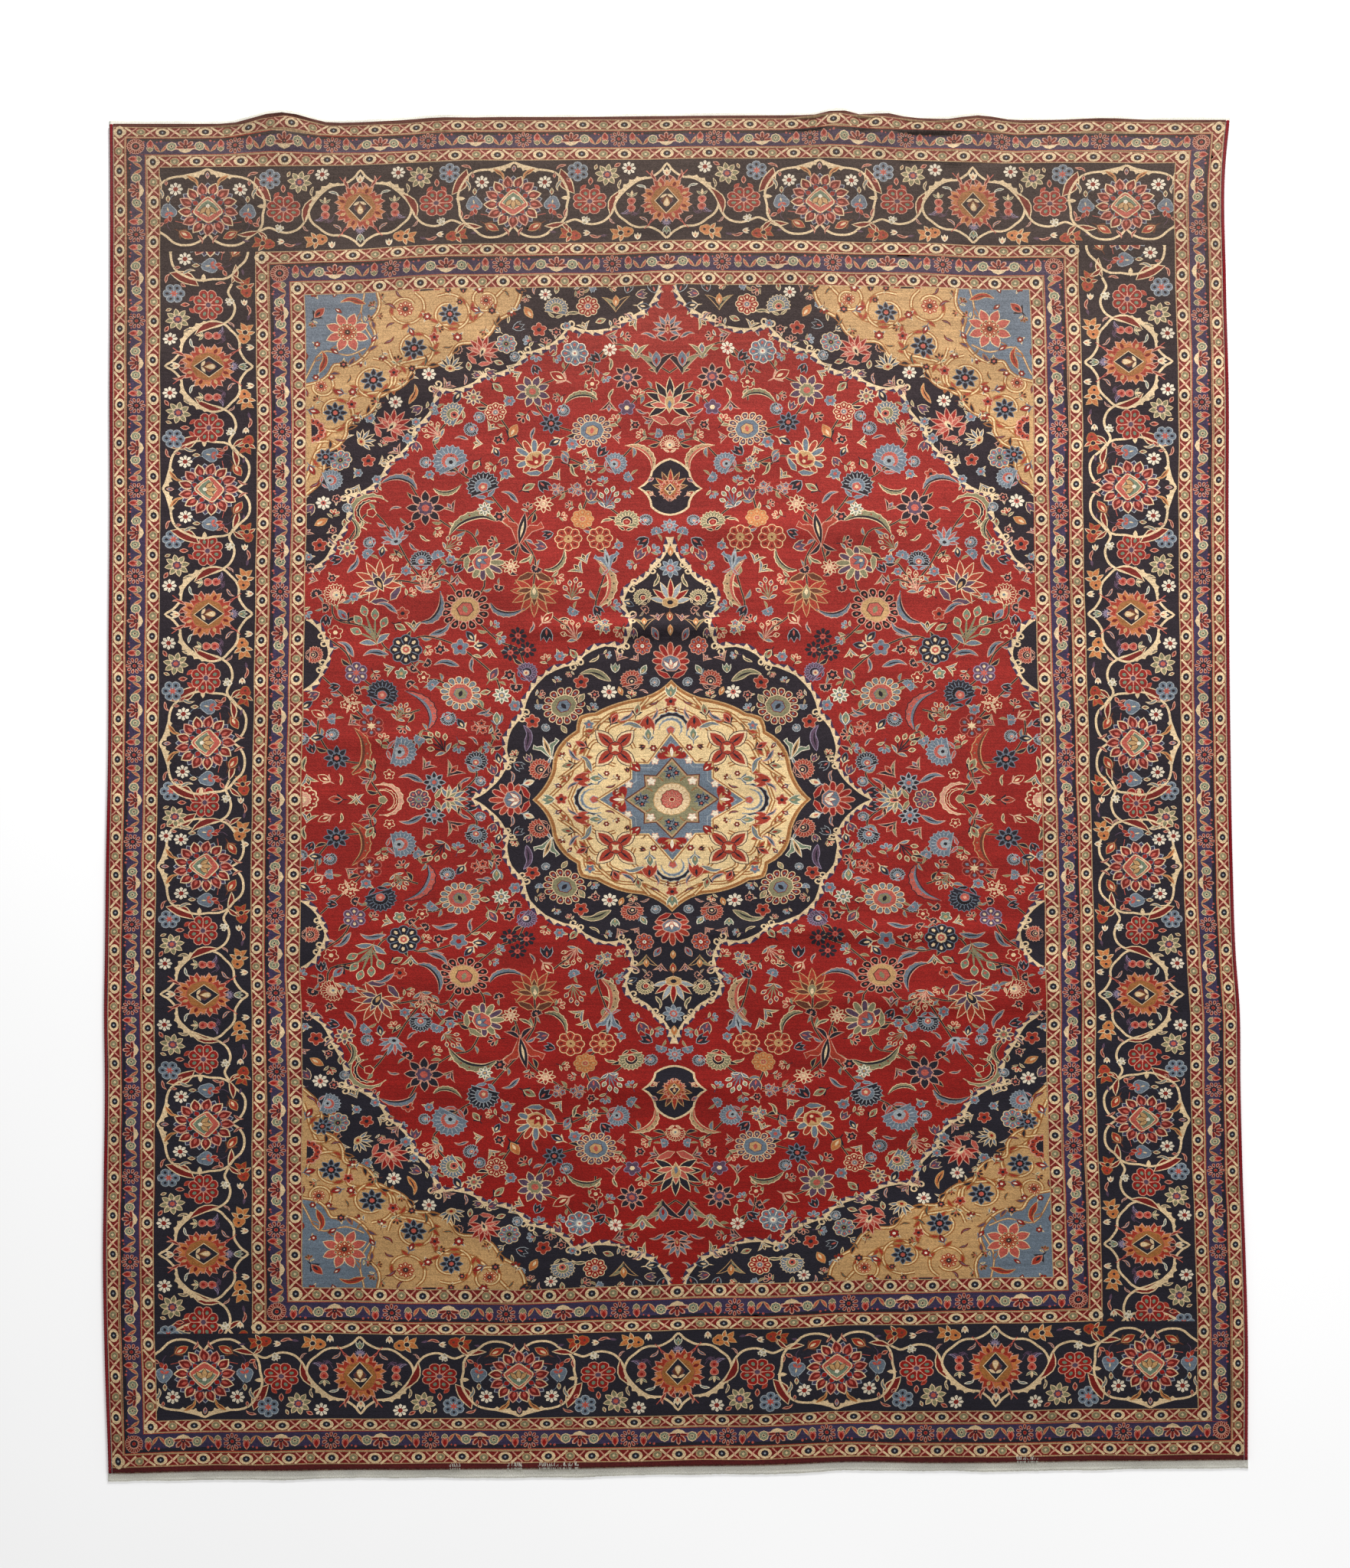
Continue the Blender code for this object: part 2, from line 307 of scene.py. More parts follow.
class Pen:
    """Lays shapes on the drawing in a frame of its own; later shapes cover earlier ones."""

    drawing = []

    def __init__(self, matrix=None):
        self.matrix = np.eye(3) if matrix is None else matrix

    def at(self, x=0.0, y=0.0, turn=0.0, size=1.0):
        """A pen whose frame is moved to (x, y), turned by degrees and scaled."""
        c, s = math.cos(math.radians(turn)) * size, math.sin(math.radians(turn)) * size
        return Pen(self.matrix @ np.array([[c, -s, x], [s, c, y], [0.0, 0.0, 1.0]]))

    def scaled(self, x, y):
        """A pen whose frame is scaled by x and y, mirrored where one is negative."""
        return Pen(self.matrix @ np.diag([x, y, 1.0]))

    def shape(self, points, yarn):
        """Lays one filled shape."""
        points = np.asarray(points, float) @ self.matrix[:2, :2].T + self.matrix[:2, 2]
        ahead = np.roll(points, -1, axis=0)
        area = (points[:, 0] * ahead[:, 1] - ahead[:, 0] * points[:, 1]).sum()
        if abs(area) > 1.0:
            points = lived_in(points)
            Pen.drawing.append((points, yarn, points.min(0), points.max(0)))

    def edged(self, points, rim, body, width=THIN):
        """Lays one filled shape with a rim of that width, in millimetres on the carpet."""
        scale = math.sqrt(abs(np.linalg.det(self.matrix[:2, :2])))
        points = np.asarray(points, float)
        self.shape(points, rim)
        self.shape(inset(points, width / scale), body)

    def line(self, points, width, yarn, per=4, closed=False):
        """Lays a band of that width, in millimetres on the carpet, along a smooth line."""
        scale = math.sqrt(abs(np.linalg.det(self.matrix[:2, :2])))
        path = smooth(points, per, closed)
        half = width / scale / 2
        if closed:
            path = np.concatenate([path, path[:1]])
        self.shape(np.concatenate([offset(path, half), offset(path, -half)[::-1]]), yarn)


def polar(radius, angle, squash=1.0):
    """Points at those distances and angles (radians) from (0, 0)."""
    return np.stack([radius * np.cos(angle), squash * radius * np.sin(angle)], axis=1)


def circle(r, n=12, squash=1.0, x=0.0, y=0.0, turn=0.0):
    """A circle or an upright oval of n corners."""
    a = np.arange(n) * 2 * math.pi / n + math.radians(turn)
    return np.stack([x + r * np.cos(a), y + r * squash * np.sin(a)], axis=1)


def lobes(r, count, depth, per=4, turn=90.0, squash=1.0):
    """A round outline of so many lobes; depth is the share that its notches cut in."""
    a = np.arange(count * per) * 2 * math.pi / (count * per)
    radius = r * (1 - depth * (1 - np.abs(np.cos(count * a / 2))))
    return polar(radius, a + math.radians(turn), squash)


def star(r, inner, count):
    """A star with its tips at r and its notches at inner."""
    a = np.arange(2 * count) * math.pi / count + math.radians(90.0)
    return polar(np.where(np.arange(2 * count) % 2 == 0, r, inner), a)


def drop(length, width, n=6):
    """A teardrop from its point at (0, 0) up to its round end."""
    t = np.linspace(0, math.pi * 2, n * 2, endpoint=False)
    y = length * (1 - np.cos(t)) / 2
    x = width / 2 * np.sin(t) * np.abs(np.sin(t / 2)) ** 1.2 * 1.15
    return np.stack([x, y], axis=1)


def leaf(length, width, bend=0.0, n=5):
    """A leaf pointed at both ends, from (0, 0) upwards; bend bows it to the side."""
    t = np.linspace(0, 1, n + 1)
    middle = bend * 4 * t * (1 - t)
    half = width / 2 * np.sin(math.pi * t) ** 0.9
    left = np.stack([middle - half, t * length], axis=1)
    right = np.stack([middle + half, t * length], axis=1)
    return np.concatenate([left, right[-2:0:-1]])


def both_sides(points):
    """A right half, from bottom to top or top to bottom, with its mirror image on the left."""
    points = np.array(points, float)
    return np.concatenate([points, (points * (-1, 1))[-2:0:-1]])


def turned(points, turn, x=0.0, y=0.0):
    """Points turned by degrees about (0, 0) and then moved."""
    c, s = math.cos(math.radians(turn)), math.sin(math.radians(turn))
    px, py = np.asarray(points, float).T
    return np.stack([px * c - py * s + x, px * s + py * c + y], axis=1)


def smooth(points, per=4, closed=False):
    """A smooth line through the points."""
    p = np.asarray(points, float)
    if closed:
        p = np.concatenate([p[-1:], p, p[:2]])
    else:
        p = np.concatenate([2 * p[:1] - p[1:2], p, 2 * p[-1:] - p[-2:-1]])
    out = []
    for a, b, c, d in zip(p, p[1:], p[2:], p[3:]):
        for t in np.arange(per) / per:
            bend = (2 * a - 5 * b + 4 * c - d) * t**2 + (3 * b - a - 3 * c + d) * t**3
            out.append(b + ((c - a) * t + bend) / 2)
    if not closed:
        out.append(p[-2])
    return np.array(out)


Cusp = namedtuple("Cusp", "x y bow")


def bowed(cusps, per=6):
    """A line through the cusps; each stretch is an arc bowed to its left by that share of it."""
    corners_of_line = np.array([(cusp.x, cusp.y) for cusp in cusps], float)
    t = np.linspace(0, 1, per, endpoint=False)[:, None]
    out = []
    for cusp, a, b in zip(cusps, corners_of_line, corners_of_line[1:]):
        left = np.array([a[1] - b[1], b[0] - a[0]])
        out.append(a + (b - a) * t + left * 4 * cusp.bow * t * (1 - t))
    return np.concatenate([*out, corners_of_line[-1:]])


def offset(points, distance):
    """A line moved sideways by distance, to its left."""
    p = np.asarray(points, float)
    along = np.concatenate([p[1:], p[-1:]]) - np.concatenate([p[:1], p[:-1]])
    along = along / np.maximum(np.linalg.norm(along, axis=1, keepdims=True), 1e-9)
    return p + np.stack([-along[:, 1], along[:, 0]], axis=1) * np.reshape(distance, (-1, 1))


# --- Flowers and leaves, each about 1 from its middle to its edge -------------------------------
# A palette names its yarns from the outside in: rim, body, petal, heart, eye.
PALETTES = {
    "red_cream": ("pink", "red", "coral", "cream", "navy"),
    "cream_red": ("cream", "red", "pink", "cream", "slate"),
    "cream_gold": ("cream", "slate", "olive", "coral", "navy"),
    "cream_navy": ("cream", "navy", "slate", "gold", "red"),
    "cream_olive": ("cream", "purple", "olive", "coral", "slate"),
    "cream_slate": ("cream", "purple", "gold", "slate", "coral"),
    "navy_coral": ("slate", "navy", "black", "coral", "pink"),
    "navy_slate": ("sky", "navy", "slate", "coral", "cream"),
    "navy_dots": ("slate", "navy", "cream", "cream", "coral"),
    "navy_star": ("pink", "navy", "purple", "coral", "red"),
    "slate_red": ("pink", "slate", "navy", "red", "gold"),
    "slate_cream": ("cream", "slate", "olive", "coral", "navy"),
    "sky_pink": ("sky", "slate", "coral", "sky", "navy"),
    "gold_red": ("gold", "madder", "brown", "cream", "navy"),
    "orange_navy": ("gold", "orange", "navy", "cream", "coral"),
    "olive_red": ("cream", "olive", "navy", "red", "coral"),
    "white": ("ivory", "cream", "sky", "coral", "navy"),
    "white_green": ("ivory", "green", "slate", "gold", "navy"),
    "lilac_cream": ("lilac", "purple", "navy", "cream", "coral"),
    "coral_navy": ("pink", "madder", "navy", "navy", "cream"),
    "coral_slate": ("pink", "madder", "red", "slate", "ivory"),
    "coral_star": ("cream", "coral", "navy", "slate", "coral"),
    "maroon": ("coral", "dark_red", "navy", "slate", "cream"),
    "tan_olive": ("gold", "madder", "brown", "olive", "cream"),
    "tan_coral": ("cream", "tan", "coral", "navy", "coral"),
    "gold_palm": ("pink", "black", "coral", "gold", "olive"),
    "gold_rosette": ("buff", "madder", "gold", "dark_red", "gold"),
    "orange_disc": ("gold", "orange", "gold", "gold", "coral"),
    "olive_peony": ("cream", "dark_red", "slate", "olive", "navy"),
    "crown_red": ("cream", "red", "sky", "gold", "navy"),
    "red_lotus": ("cream", "navy", "coral", "gold", "slate"),
    "sky_rosette": ("ivory", "slate", "sky", "coral", "ivory"),
    "pink_white": ("pink", "ivory", "pink", "ivory", "coral"),
    "red_wheel": ("coral", "red", "dark_red", "navy", "purple"),
    "leafy": ("pink", "slate", "navy", "olive", "cream"),
    "leafy_olive": ("cream", "olive", "navy", "tan", "cream"),
    "white_rose": ("ivory", "ivory", "sky", "red", "brown"),
    "star_flower": ("cream", "olive", "purple", "coral", "red"),
    "slate_six": ("sky", "slate", "indigo", "navy", "coral"),
    "brown_gold": ("gold_brown", "madder", "brown", "gold", "navy"),
    "cream_leaf": ("cream", "coral", "olive", "red", "navy"),
    "navy_eye": ("pink", "navy", "slate", "coral", "navy"),
    "slate_eye": ("sky", "slate", "olive", "coral", "purple"),
    "dark_leaf": ("gold_brown", "navy", "green", "coral", "brown"),
    "red_leaf": ("brown", "red", "slate", "ivory", "brown"),
    "cream_fan": ("cream", "pink", "red", "olive", "navy"),
    "coral_leaf": ("navy", "coral", "slate", "slate", "coral"),
    "navy_daisy": ("navy", "navy", "black", "coral", "red"),
    "green_spray": ("cream", "green", "olive", "coral", "coral"),
    "cream_blue": ("cream", "madder", "purple", "navy", "gold"),
    "orange_palm": ("cream", "madder", "slate", "gold", "red"),
}


def ring(pen, rim, body, count, low, high, width, tip=drop):
    """A ring of petals from low to high from the middle."""
    for k in range(count):
        petal = tip(high - low, width) + (0, low)
        pen.edged(turned(petal, 360 * k / count), rim, body)


def rosette(pen, c):
    """A round flower seen from above, its petals parted by lines, with a seed in each."""
    pen.edged(lobes(1.0, 8, 0.15), c[0], c[1])
    for k in range(8):
        pen.shape(turned(leaf(0.62, 0.07, 0, 2) + (0, 0.26), 45 * (k + 0.5)), c[0])
        pen.shape(turned(circle(0.11, 5, 1.4, 0, 0.66), 45 * k), c[3])
    pen.shape(lobes(0.34, 8, 0.10, 2), c[2])
    pen.shape(circle(0.22, 7), c[4])
    pen.shape(circle(0.09, 5), c[3])


def six_rosette(pen, c):
    """A six-petalled rosette with a long seed in each petal and a small star in the middle."""
    for k in range(6):
        pen.edged(turned(drop(0.98, 0.92) + (0, 0.02), 60 * k), c[0], c[1], 2.2)
        pen.shape(turned(leaf(0.34, 0.26) + (0, 0.44), 60 * k), c[3])
    pen.shape(star(0.40, 0.18, 6), c[4])


def daisy(pen, c):
    """A small flower of separate round petals."""
    for k in range(8):
        pen.shape(turned(drop(0.86, 0.56, 3) + (0, 0.14), 45 * k), c[0])
    pen.shape(circle(0.34, 7), c[3])
    pen.shape(circle(0.15, 5), c[4])


def pansy(pen, c):
    """A little flower of five petals."""
    pen.edged(lobes(1.0, 5, 0.34, 4), c[0], c[1], 2.0)
    pen.shape(circle(0.30, 6), c[3])


def star_flower(pen, c):
    """A flower of pointed petals, light-edged, round a ringed middle."""
    ring(pen, c[0], c[1], 8, 0.20, 1.0, 0.46, leaf)
    pen.edged(lobes(0.46, 8, 0.2, 2), c[0], c[2], 2.0)
    pen.shape(circle(0.20, 7), c[3])


def calyx(pen, rim, body, foot, size=1.0):
    """Two curled leaves under a flower."""
    blade = np.array([
        (0.02, -0.1), (0.30, -0.16), (0.62, 0.04), (0.86, 0.42), (0.50, 0.26), (0.20, 0.16),
    ])
    for side in (-1, 1):
        pen.edged(blade * (side * size, size) + (0, foot), rim, body, 2.0)


def palmette(pen, c):
    """A lotus palmette seen from the side, standing up on two leaves."""
    calyx(pen, c[0], c[2], -0.84)
    for k in (-4, 4, -3, 3, -2, 2, -1, 1, 0):
        yarn = c[1] if k % 2 == 0 else c[2]
        length = 1.10 - 0.05 * abs(k)
        pen.edged(turned(drop(length, 0.40), 29 * k, 0, -0.10), c[0], yarn)
    pen.edged(lobes(0.52, 7, 0.14, 3, 90, 0.9) + (0, -0.16), c[0], c[3])
    for k in (-1, 1, 0):
        pen.edged(turned(leaf(0.62, 0.24), 38 * k, 0, -0.50), c[1], c[4], 1.8)
    pen.shape(circle(0.10, 5, 1, 0, -0.30), c[0])


def lotus(pen, c):
    """A palmette of pointed petals in two rows."""
    calyx(pen, c[0], c[2], -0.84)
    for k in (-4, 4, -3, 3, -2, 2, -1, 1, 0):
        pen.edged(turned(leaf(1.14 - 0.04 * abs(k), 0.34), 31 * k, 0, -0.08), c[0], c[1])
    for k in (-2, 2, -1, 1, 0):
        pen.edged(turned(leaf(0.76, 0.28), 40 * k, 0, -0.22), c[0], c[2])
    pen.edged(drop(0.74, 0.46) + (0, -0.50), c[0], c[3], 2.0)
    pen.shape(leaf(0.36, 0.16) + (0, -0.30), c[4])


def peony(pen, c):
    """A full oval flower: a ring of seeded petals round a lobed heart."""
    pen = pen.scaled(1, 0.9)
    ring(pen, c[0], c[1], 14, 0.46, 1.0, 0.40)
    for k in range(14):
        pen.shape(turned(circle(0.06, 4, 1.3, 0, 0.78), 360 * k / 14), c[2])
    pen.edged(lobes(0.62, 9, 0.12, 3), c[0], c[3])
    pen.edged(lobes(0.36, 6, 0.2, 3), c[1], c[2], 2.0)
    pen.shape(leaf(0.40, 0.20) + (0, -0.20), c[4])


def carnation(pen, c):
    """A fan flower, rayed and notched, on a cup."""
    calyx(pen, c[0], c[2], -0.74, 0.8)
    a = np.radians(np.linspace(-28, 208, 25))
    teeth = np.where(np.arange(25) % 2 == 0, 1.0, 0.86)
    rays = polar(teeth, a)
    pen.edged(rays, c[0], c[1])
    for k in range(-5, 6):
        pen.shape(turned(leaf(0.40, 0.08, 0, 2) + (0, 0.46), 20 * k), c[0])
    pen.edged(rays * 0.54, c[0], c[2], 2.0)
    pen.edged(lobes(0.34, 5, 0.15, 3) + (0, -0.08), c[0], c[3], 2.0)
    pen.shape(circle(0.13, 5, 1, 0, -0.08), c[4])


def lily(pen, c):
    """A lily with curled side petals."""
    petal = np.array([
        (0, -0.9), (0.26, -0.45), (0.50, -0.02), (1.0, 0.30),
        (0.80, 0.62), (0.66, 0.38), (0.30, 0.34), (0.06, 0.0),
    ])
    for side in (-1, 1):
        pen.edged(petal * (side, 1), c[0], c[1])
        pen.edged(turned(leaf(0.9, 0.26, -0.12 * side), 130 * side, 0, -0.6), c[0], c[2], 2.0)
    pen.edged(leaf(1.75, 0.44) + (0, -0.78), c[0], c[3])
    pen.shape(leaf(0.9, 0.12) + (0, -0.40), c[4])


def bud(pen, c):
    """A closed bud between two sepals, on a short stem."""
    pen.shape(leaf(1.0, 0.16) + (0, -1.5), c[2])
    for side in (-1, 1):
        pen.shape(turned(leaf(1.1, 0.36, -0.12 * side), -46 * side, 0, -0.9), c[2])
    pen.edged(leaf(1.80, 0.98) + (0, -0.80), c[0], c[1], 2.0)
    pen.shape(leaf(0.80, 0.30) + (0, -0.50), c[3])


def tulip(pen, c):
    """A small three-pointed flower."""
    cup = both_sides([(0, -0.9), (0.5, -0.5), (0.78, 0.1), (0.72, 0.8), (0.36, 0.35), (0, 1.0)])
    pen.edged(cup, c[0], c[1], 2.0)
    pen.shape(leaf(0.8, 0.26) + (0, -0.62), c[3])


def crescent(pen, c):
    """A pair of notched C-shaped leaves, one within the other, opening downwards."""
    for size, turn, outer_yarn, inner_yarn in ((1.0, 0, c[0], c[1]), (0.66, -14, c[0], c[2])):
        a = np.radians(np.linspace(-30, 200, 19) + turn)
        teeth = size * np.where(np.arange(19) % 2 == 0, 1.0, 0.93)
        thick = 0.30 * size * np.sin(np.linspace(0.15, math.pi - 0.1, 19)) ** 0.7
        outer = polar(teeth, a)
        inner = polar(size - thick, a)
        pen.edged(np.concatenate([outer, inner[::-1]]), outer_yarn, inner_yarn, 2.0)
    pen.edged(lobes(0.26, 5, 0.25, 3) + (0, -0.10), c[0], c[3], 2.0)


def saz(pen, c):
    """A long curved feather leaf, its two sides in two colours, with a notched edge."""
    spine = smooth([(-0.22, -1.0), (-0.46, -0.50), (-0.40, 0.10), (-0.08, 0.60), (0.50, 1.0)], 6)
    t = np.linspace(0, 1, len(spine))
    teeth = 1 + 0.20 * (np.arange(len(spine)) % 3 == 0)
    half = 0.24 * np.sin(math.pi * np.clip(t * 0.94 + 0.06, 0, 1)) ** 0.8
    edge = np.concatenate([offset(spine, half * teeth), offset(spine, -half * 0.7)[::-1]])
    pen.edged(edge, c[0], c[1])
    side = np.concatenate([offset(spine, -half * 0.05), offset(spine, -half * 0.5)[::-1]])
    pen.shape(side, c[2])
    for k in range(4, len(spine) - 5, 4):
        pen.shape(circle(0.045, 4, 1, spine[k][0] - half[k] * 0.4, spine[k][1]), c[3])


def feather(pen, c):
    """A short curled leaf of two colours."""
    blade = [(-0.2, -1.0), (-0.50, -0.2), (-0.30, 0.6), (0.35, 1.0), (0.02, 0.35), (0.06, -0.3)]
    blade = smooth(blade, 3, True)
    pen.edged(blade, c[0], c[1], 2.0)
    pen.shape(turned(leaf(1.3, 0.12, -0.12), -6, -0.14, -0.7), c[2])


def spray(pen, c):
    """A sprig: a stem with leaves and five little heads."""
    pen.shape(leaf(1.9, 0.12) + (0, -1.0), c[2])
    for x, y in ((-0.62, 0.05), (0.62, 0.05), (-0.38, 0.52), (0.38, 0.52), (0.0, 0.84)):
        angle = math.degrees(-math.atan2(x, y + 0.6))
        pen.shape(turned(leaf(math.hypot(x, y + 0.6), 0.10), angle, 0, -0.60), c[2])
        head = pen.at(x, y, angle, 0.30)
        head.edged(leaf(2.0, 1.25) + (0, -0.8), c[0], c[1], 2.0)
        head.shape(circle(0.30, 4), c[3])
    for side in (-1, 1):
        pen.edged(turned(leaf(0.80, 0.30, -0.06 * side), -68 * side, 0, -0.80), c[0], "slate", 1.8)


def sprig(pen, c):
    """A little spray: a three-petalled flower, a bud beside it and two leaves."""
    pen.line([(-0.1, -1.2), (0.05, -0.5), (0.0, 0.1)], 2.0, c[4], 3)
    pen.edged(turned(leaf(1.15, 0.46, -0.10), -64, 0.0, -0.7), "cream", c[2], 1.8)
    pen.edged(turned(leaf(1.00, 0.40, 0.10), 60, 0.0, -0.4), "tan", "green", 1.8)
    for k in (-1, 1, 0):
        pen.edged(turned(drop(0.95, 0.62, 4), 50 * k, 0, 0.0), c[0], c[1], 2.0)
    pen.shape(circle(0.22, 5, 1, 0, 0.12), c[3])


def posy(pen, c):
    """A small round flower on a leaf pair."""
    for side in (-1, 1):
        pen.edged(turned(leaf(1.10, 0.42, -0.1 * side), -118 * side, 0, -0.2), "cream", c[2], 1.8)
    pen.edged(lobes(0.78, 6, 0.26, 4) + (0, 0.1), c[0], c[1], 2.2)
    pen.shape(circle(0.26, 6, 1, 0, 0.1), c[3])


def fan(pen, c):
    """A little fan flower on a long leaf."""
    pen.edged(turned(leaf(1.3, 0.42, 0.14), 168, 0, -0.2), "tan", c[2], 1.8)
    a = np.radians(np.linspace(-20, 200, 15))
    teeth = np.where(np.arange(15) % 2 == 0, 0.86, 0.70)
    pen.edged(polar(teeth, a), c[0], c[1], 2.0)
    pen.edged(drop(0.62, 0.42, 4) + (0, -0.25), c[0], c[3], 1.6)


def crown(pen, c):
    """A row of pointed leaves over a cup."""
    for k in (-3, 3, -2, 2, -1, 1, 0):
        yarn = c[1] if k % 2 == 0 else c[2]
        pen.edged(turned(leaf(1.30 - 0.08 * abs(k), 0.34), 26 * k, 0, -0.35), c[0], yarn)
    pen.edged(lobes(0.44, 6, 0.15, 3, 90, 0.7) + (0, -0.36), c[0], c[3], 2.0)
    pen.shape(circle(0.16, 6, 0.8, 0, -0.36), c[4])


def trio(pen, c):
    """Three flowers close together on their leaves."""
    for k in range(3):
        x, y = turned([(0, 0.55)], 120 * k + 20)[0]
        pen.edged(turned(leaf(1.1, 0.28), 120 * k + 80), c[0], c[2], 1.8)
        pansy(pen.at(x, y, 40 * k, 0.50), c)


def wings(pen, c):
    """A bud between two raised leaves."""
    for side in (-1, 1):
        blade = leaf(1.9, 0.44, -0.30 * side)
        pen.edged(turned(blade, -40 * side, 0, -0.9), c[0], c[2] if side < 0 else "olive", 2.0)
    bud(pen.at(0, 0.1, 0, 0.62), c)


def half_rosette(pen, c):
    """Half of a large rosette, rising from a straight foot."""
    a = np.radians(np.linspace(0, 180, 25))
    for size, yarn in ((1.0, c[0]), (0.90, c[1]), (0.56, c[0]), (0.48, c[2]), (0.26, c[3])):
        pen.shape(polar(size * (1 - 0.12 * (1 - np.abs(np.cos(6 * a)))), a), yarn)
    for k in range(-3, 4):
        pen.shape(turned(circle(0.07, 4, 1.4, 0, 0.74), 26 * k), c[3])


def star4(pen, c):
    """A flower of four long pointed petals, each split by a rib."""
    for k in range(4):
        pen.edged(turned(leaf(1.14, 0.66), 90 * k), "navy", "cream", 2.4)
    for k in range(4):
        pen.shape(turned(leaf(0.98, 0.44), 90 * k), "madder")
        pen.shape(turned(leaf(0.62, 0.09, 0, 2) + (0, 0.2), 90 * k), "navy")
    pen.edged(circle(0.32, 8), "navy", "madder", 2.0)
    pen.shape(star(0.22, 0.10, 4), "cream")


def half_palm(pen, c):
    """A red fan with a pale flame in it."""
    for k in (-2, 2, -1, 1, 0):
        pen.edged(turned(drop(1.25, 0.80), 40 * k), "madder", "red", 2.0)
    for k in (-2, 2, -1, 1, 0):
        pen.shape(turned(leaf(0.66, 0.20), 34 * k), "gold")
    pen.shape(leaf(0.95, 0.30), "ivory")


def grand_a(pen, c):
    """The large palmette of the border's wide cartouche, standing up, in its own colours."""
    for k in range(13):
        pen.edged(turned(leaf(0.40, 0.26) + (0, 0.60), 360 / 13 * (k + 0.5)), "sky", "indigo", 2.6)
    for k in range(13):
        petal = turned(leaf(0.56, 0.36, 0.02), 6) + (0.02, 0.46)
        pen.edged(turned(petal, 360 / 13 * k), "cream" if k % 2 else "pink", "dark_red", 3.6)
        pen.shape(turned(leaf(0.24, 0.10) + (0, 0.58), 360 / 13 * k), "coral")
    pen.edged(lobes(0.60, 13, 0.10, 3), "purple", "navy", 2.0)
    for k in range(9):
        pen.edged(turned(leaf(0.26, 0.22) + (0, 0.34), 40 * k), "slate", "red", 1.6)
    diamond = both_sides([(0, 0.52), (0.28, 0.34), (0.50, 0.10), (0.30, -0.22), (0, -0.48)])
    diamond = smooth(diamond, 3, True)
    pen.edged(diamond, "cream", "coral", 3.4)
    lower = both_sides([(0, 0.30), (0.40, 0.04), (0.22, -0.22), (0, -0.38)])
    pen.edged(lower, "cream", "green", 2.8)
    for k in (-1, 1, 0):
        pen.edged(turned(leaf(0.42, 0.20), 44 * k, 0, -0.12), "brown", "gold", 1.8)
    pen.shape(circle(0.08, 5, 1, 0, -0.12), "ivory")


def grand_b(pen, c):
    """The palmette of the border's narrow cartouche, standing up, in its own colours."""
    for side in (-1, 1):
        pen.edged(turned(leaf(0.62, 0.24), 142 * side, 0.42 * side, -0.62), "pink", "dark_red", 2.0)
        pen.line([(0.40 * side, 0.66), (0.62 * side, 0.92), (0.70 * side, 1.16)], 2.2, "coral", 3)
    for k in range(8):
        spot = pen.at(0, 0, 45 * k + 22.5)
        left = [(-0.36, 0.50), (-0.40, 0.80), (-0.22, 0.76), (-0.17, 1.02)]
        leaf3 = [*left, (0, 0.90), *((-x, y) for x, y in left[::-1])]
        spot.edged(leaf3, "pink", "madder" if k % 2 else "orange", 3.2)
        spot.shape(leaf(0.26, 0.14) + (0, 0.60), "gold" if k % 2 else "dark_red")
    pen.edged(lobes(0.66, 8, 0.08, 3), "coral", "gold_brown", 2.0)
    pen.edged([(0, 0.62), (0.48, 0.04), (0, -0.54), (-0.48, 0.04)], "cream", "navy", 2.8)
    shield = [(0, 0.36), (0.26, 0.06), (0.12, -0.20), (-0.12, -0.20), (-0.26, 0.06)]
    pen.edged(shield, "purple", "brown", 2.0)
    pen.edged(drop(0.42, 0.30) + (0, -0.12), "gold", "cream", 2.2)
    for side in (-1, 1):
        pen.shape(turned(leaf(0.30, 0.12), 60 * side, 0, -0.24), "cream")


def cherries(pen, c):
    """Two round coral buds one over the other, with a pale sprig under them."""
    for y in (0.52, -0.38):
        pen.edged(lobes(0.50, 3, 0.12, 4) + (0, y), "pink", "coral", 1.8)
        pen.shape(circle(0.20, 5, 1, 0, y - 0.04), "red")
    pen.line([(0.2, 1.0), (-0.4, 1.4), (-0.9, 1.0)], 1.8, "purple", 3)
    pen.shape(leaf(0.8, 0.3) + (0, -1.7), "cream")
    for side in (-1, 1):
        pen.edged(turned(leaf(0.8, 0.30), 130 * side, 0, -0.9), "cream", "green", 1.4)
        pen.shape(turned(leaf(0.8, 0.26), 60 * side, 0, 0.9), "purple")


def twin_buds(pen, c):
    """A flower head lying on its side: a lobed cup, two spread petals and a round tip."""
    for side in (-1, 1):
        pen.edged(turned(leaf(1.15, 0.50, 0.10 * side), 90 + 30 * side, 0.35, 0.10 * side), c[0], c[1], 2.2)
        pen.edged(turned(leaf(0.80, 0.34), 90 + 64 * side, 0.30, 0.0), "cream", c[1], 2.0)
    pen.edged(lobes(0.50, 3, 0.2, 4, 0) + (0.62, 0), c[0], c[1], 2.2)
    pen.edged(circle(0.26, 6, 1, 0.12, 0), c[3], "navy", 2.0)
    pen.shape(circle(0.12, 5, 1, 0.70, 0), c[2])
    pen.shape(turned(leaf(0.6, 0.2), 90, -0.9, 0), "purple")


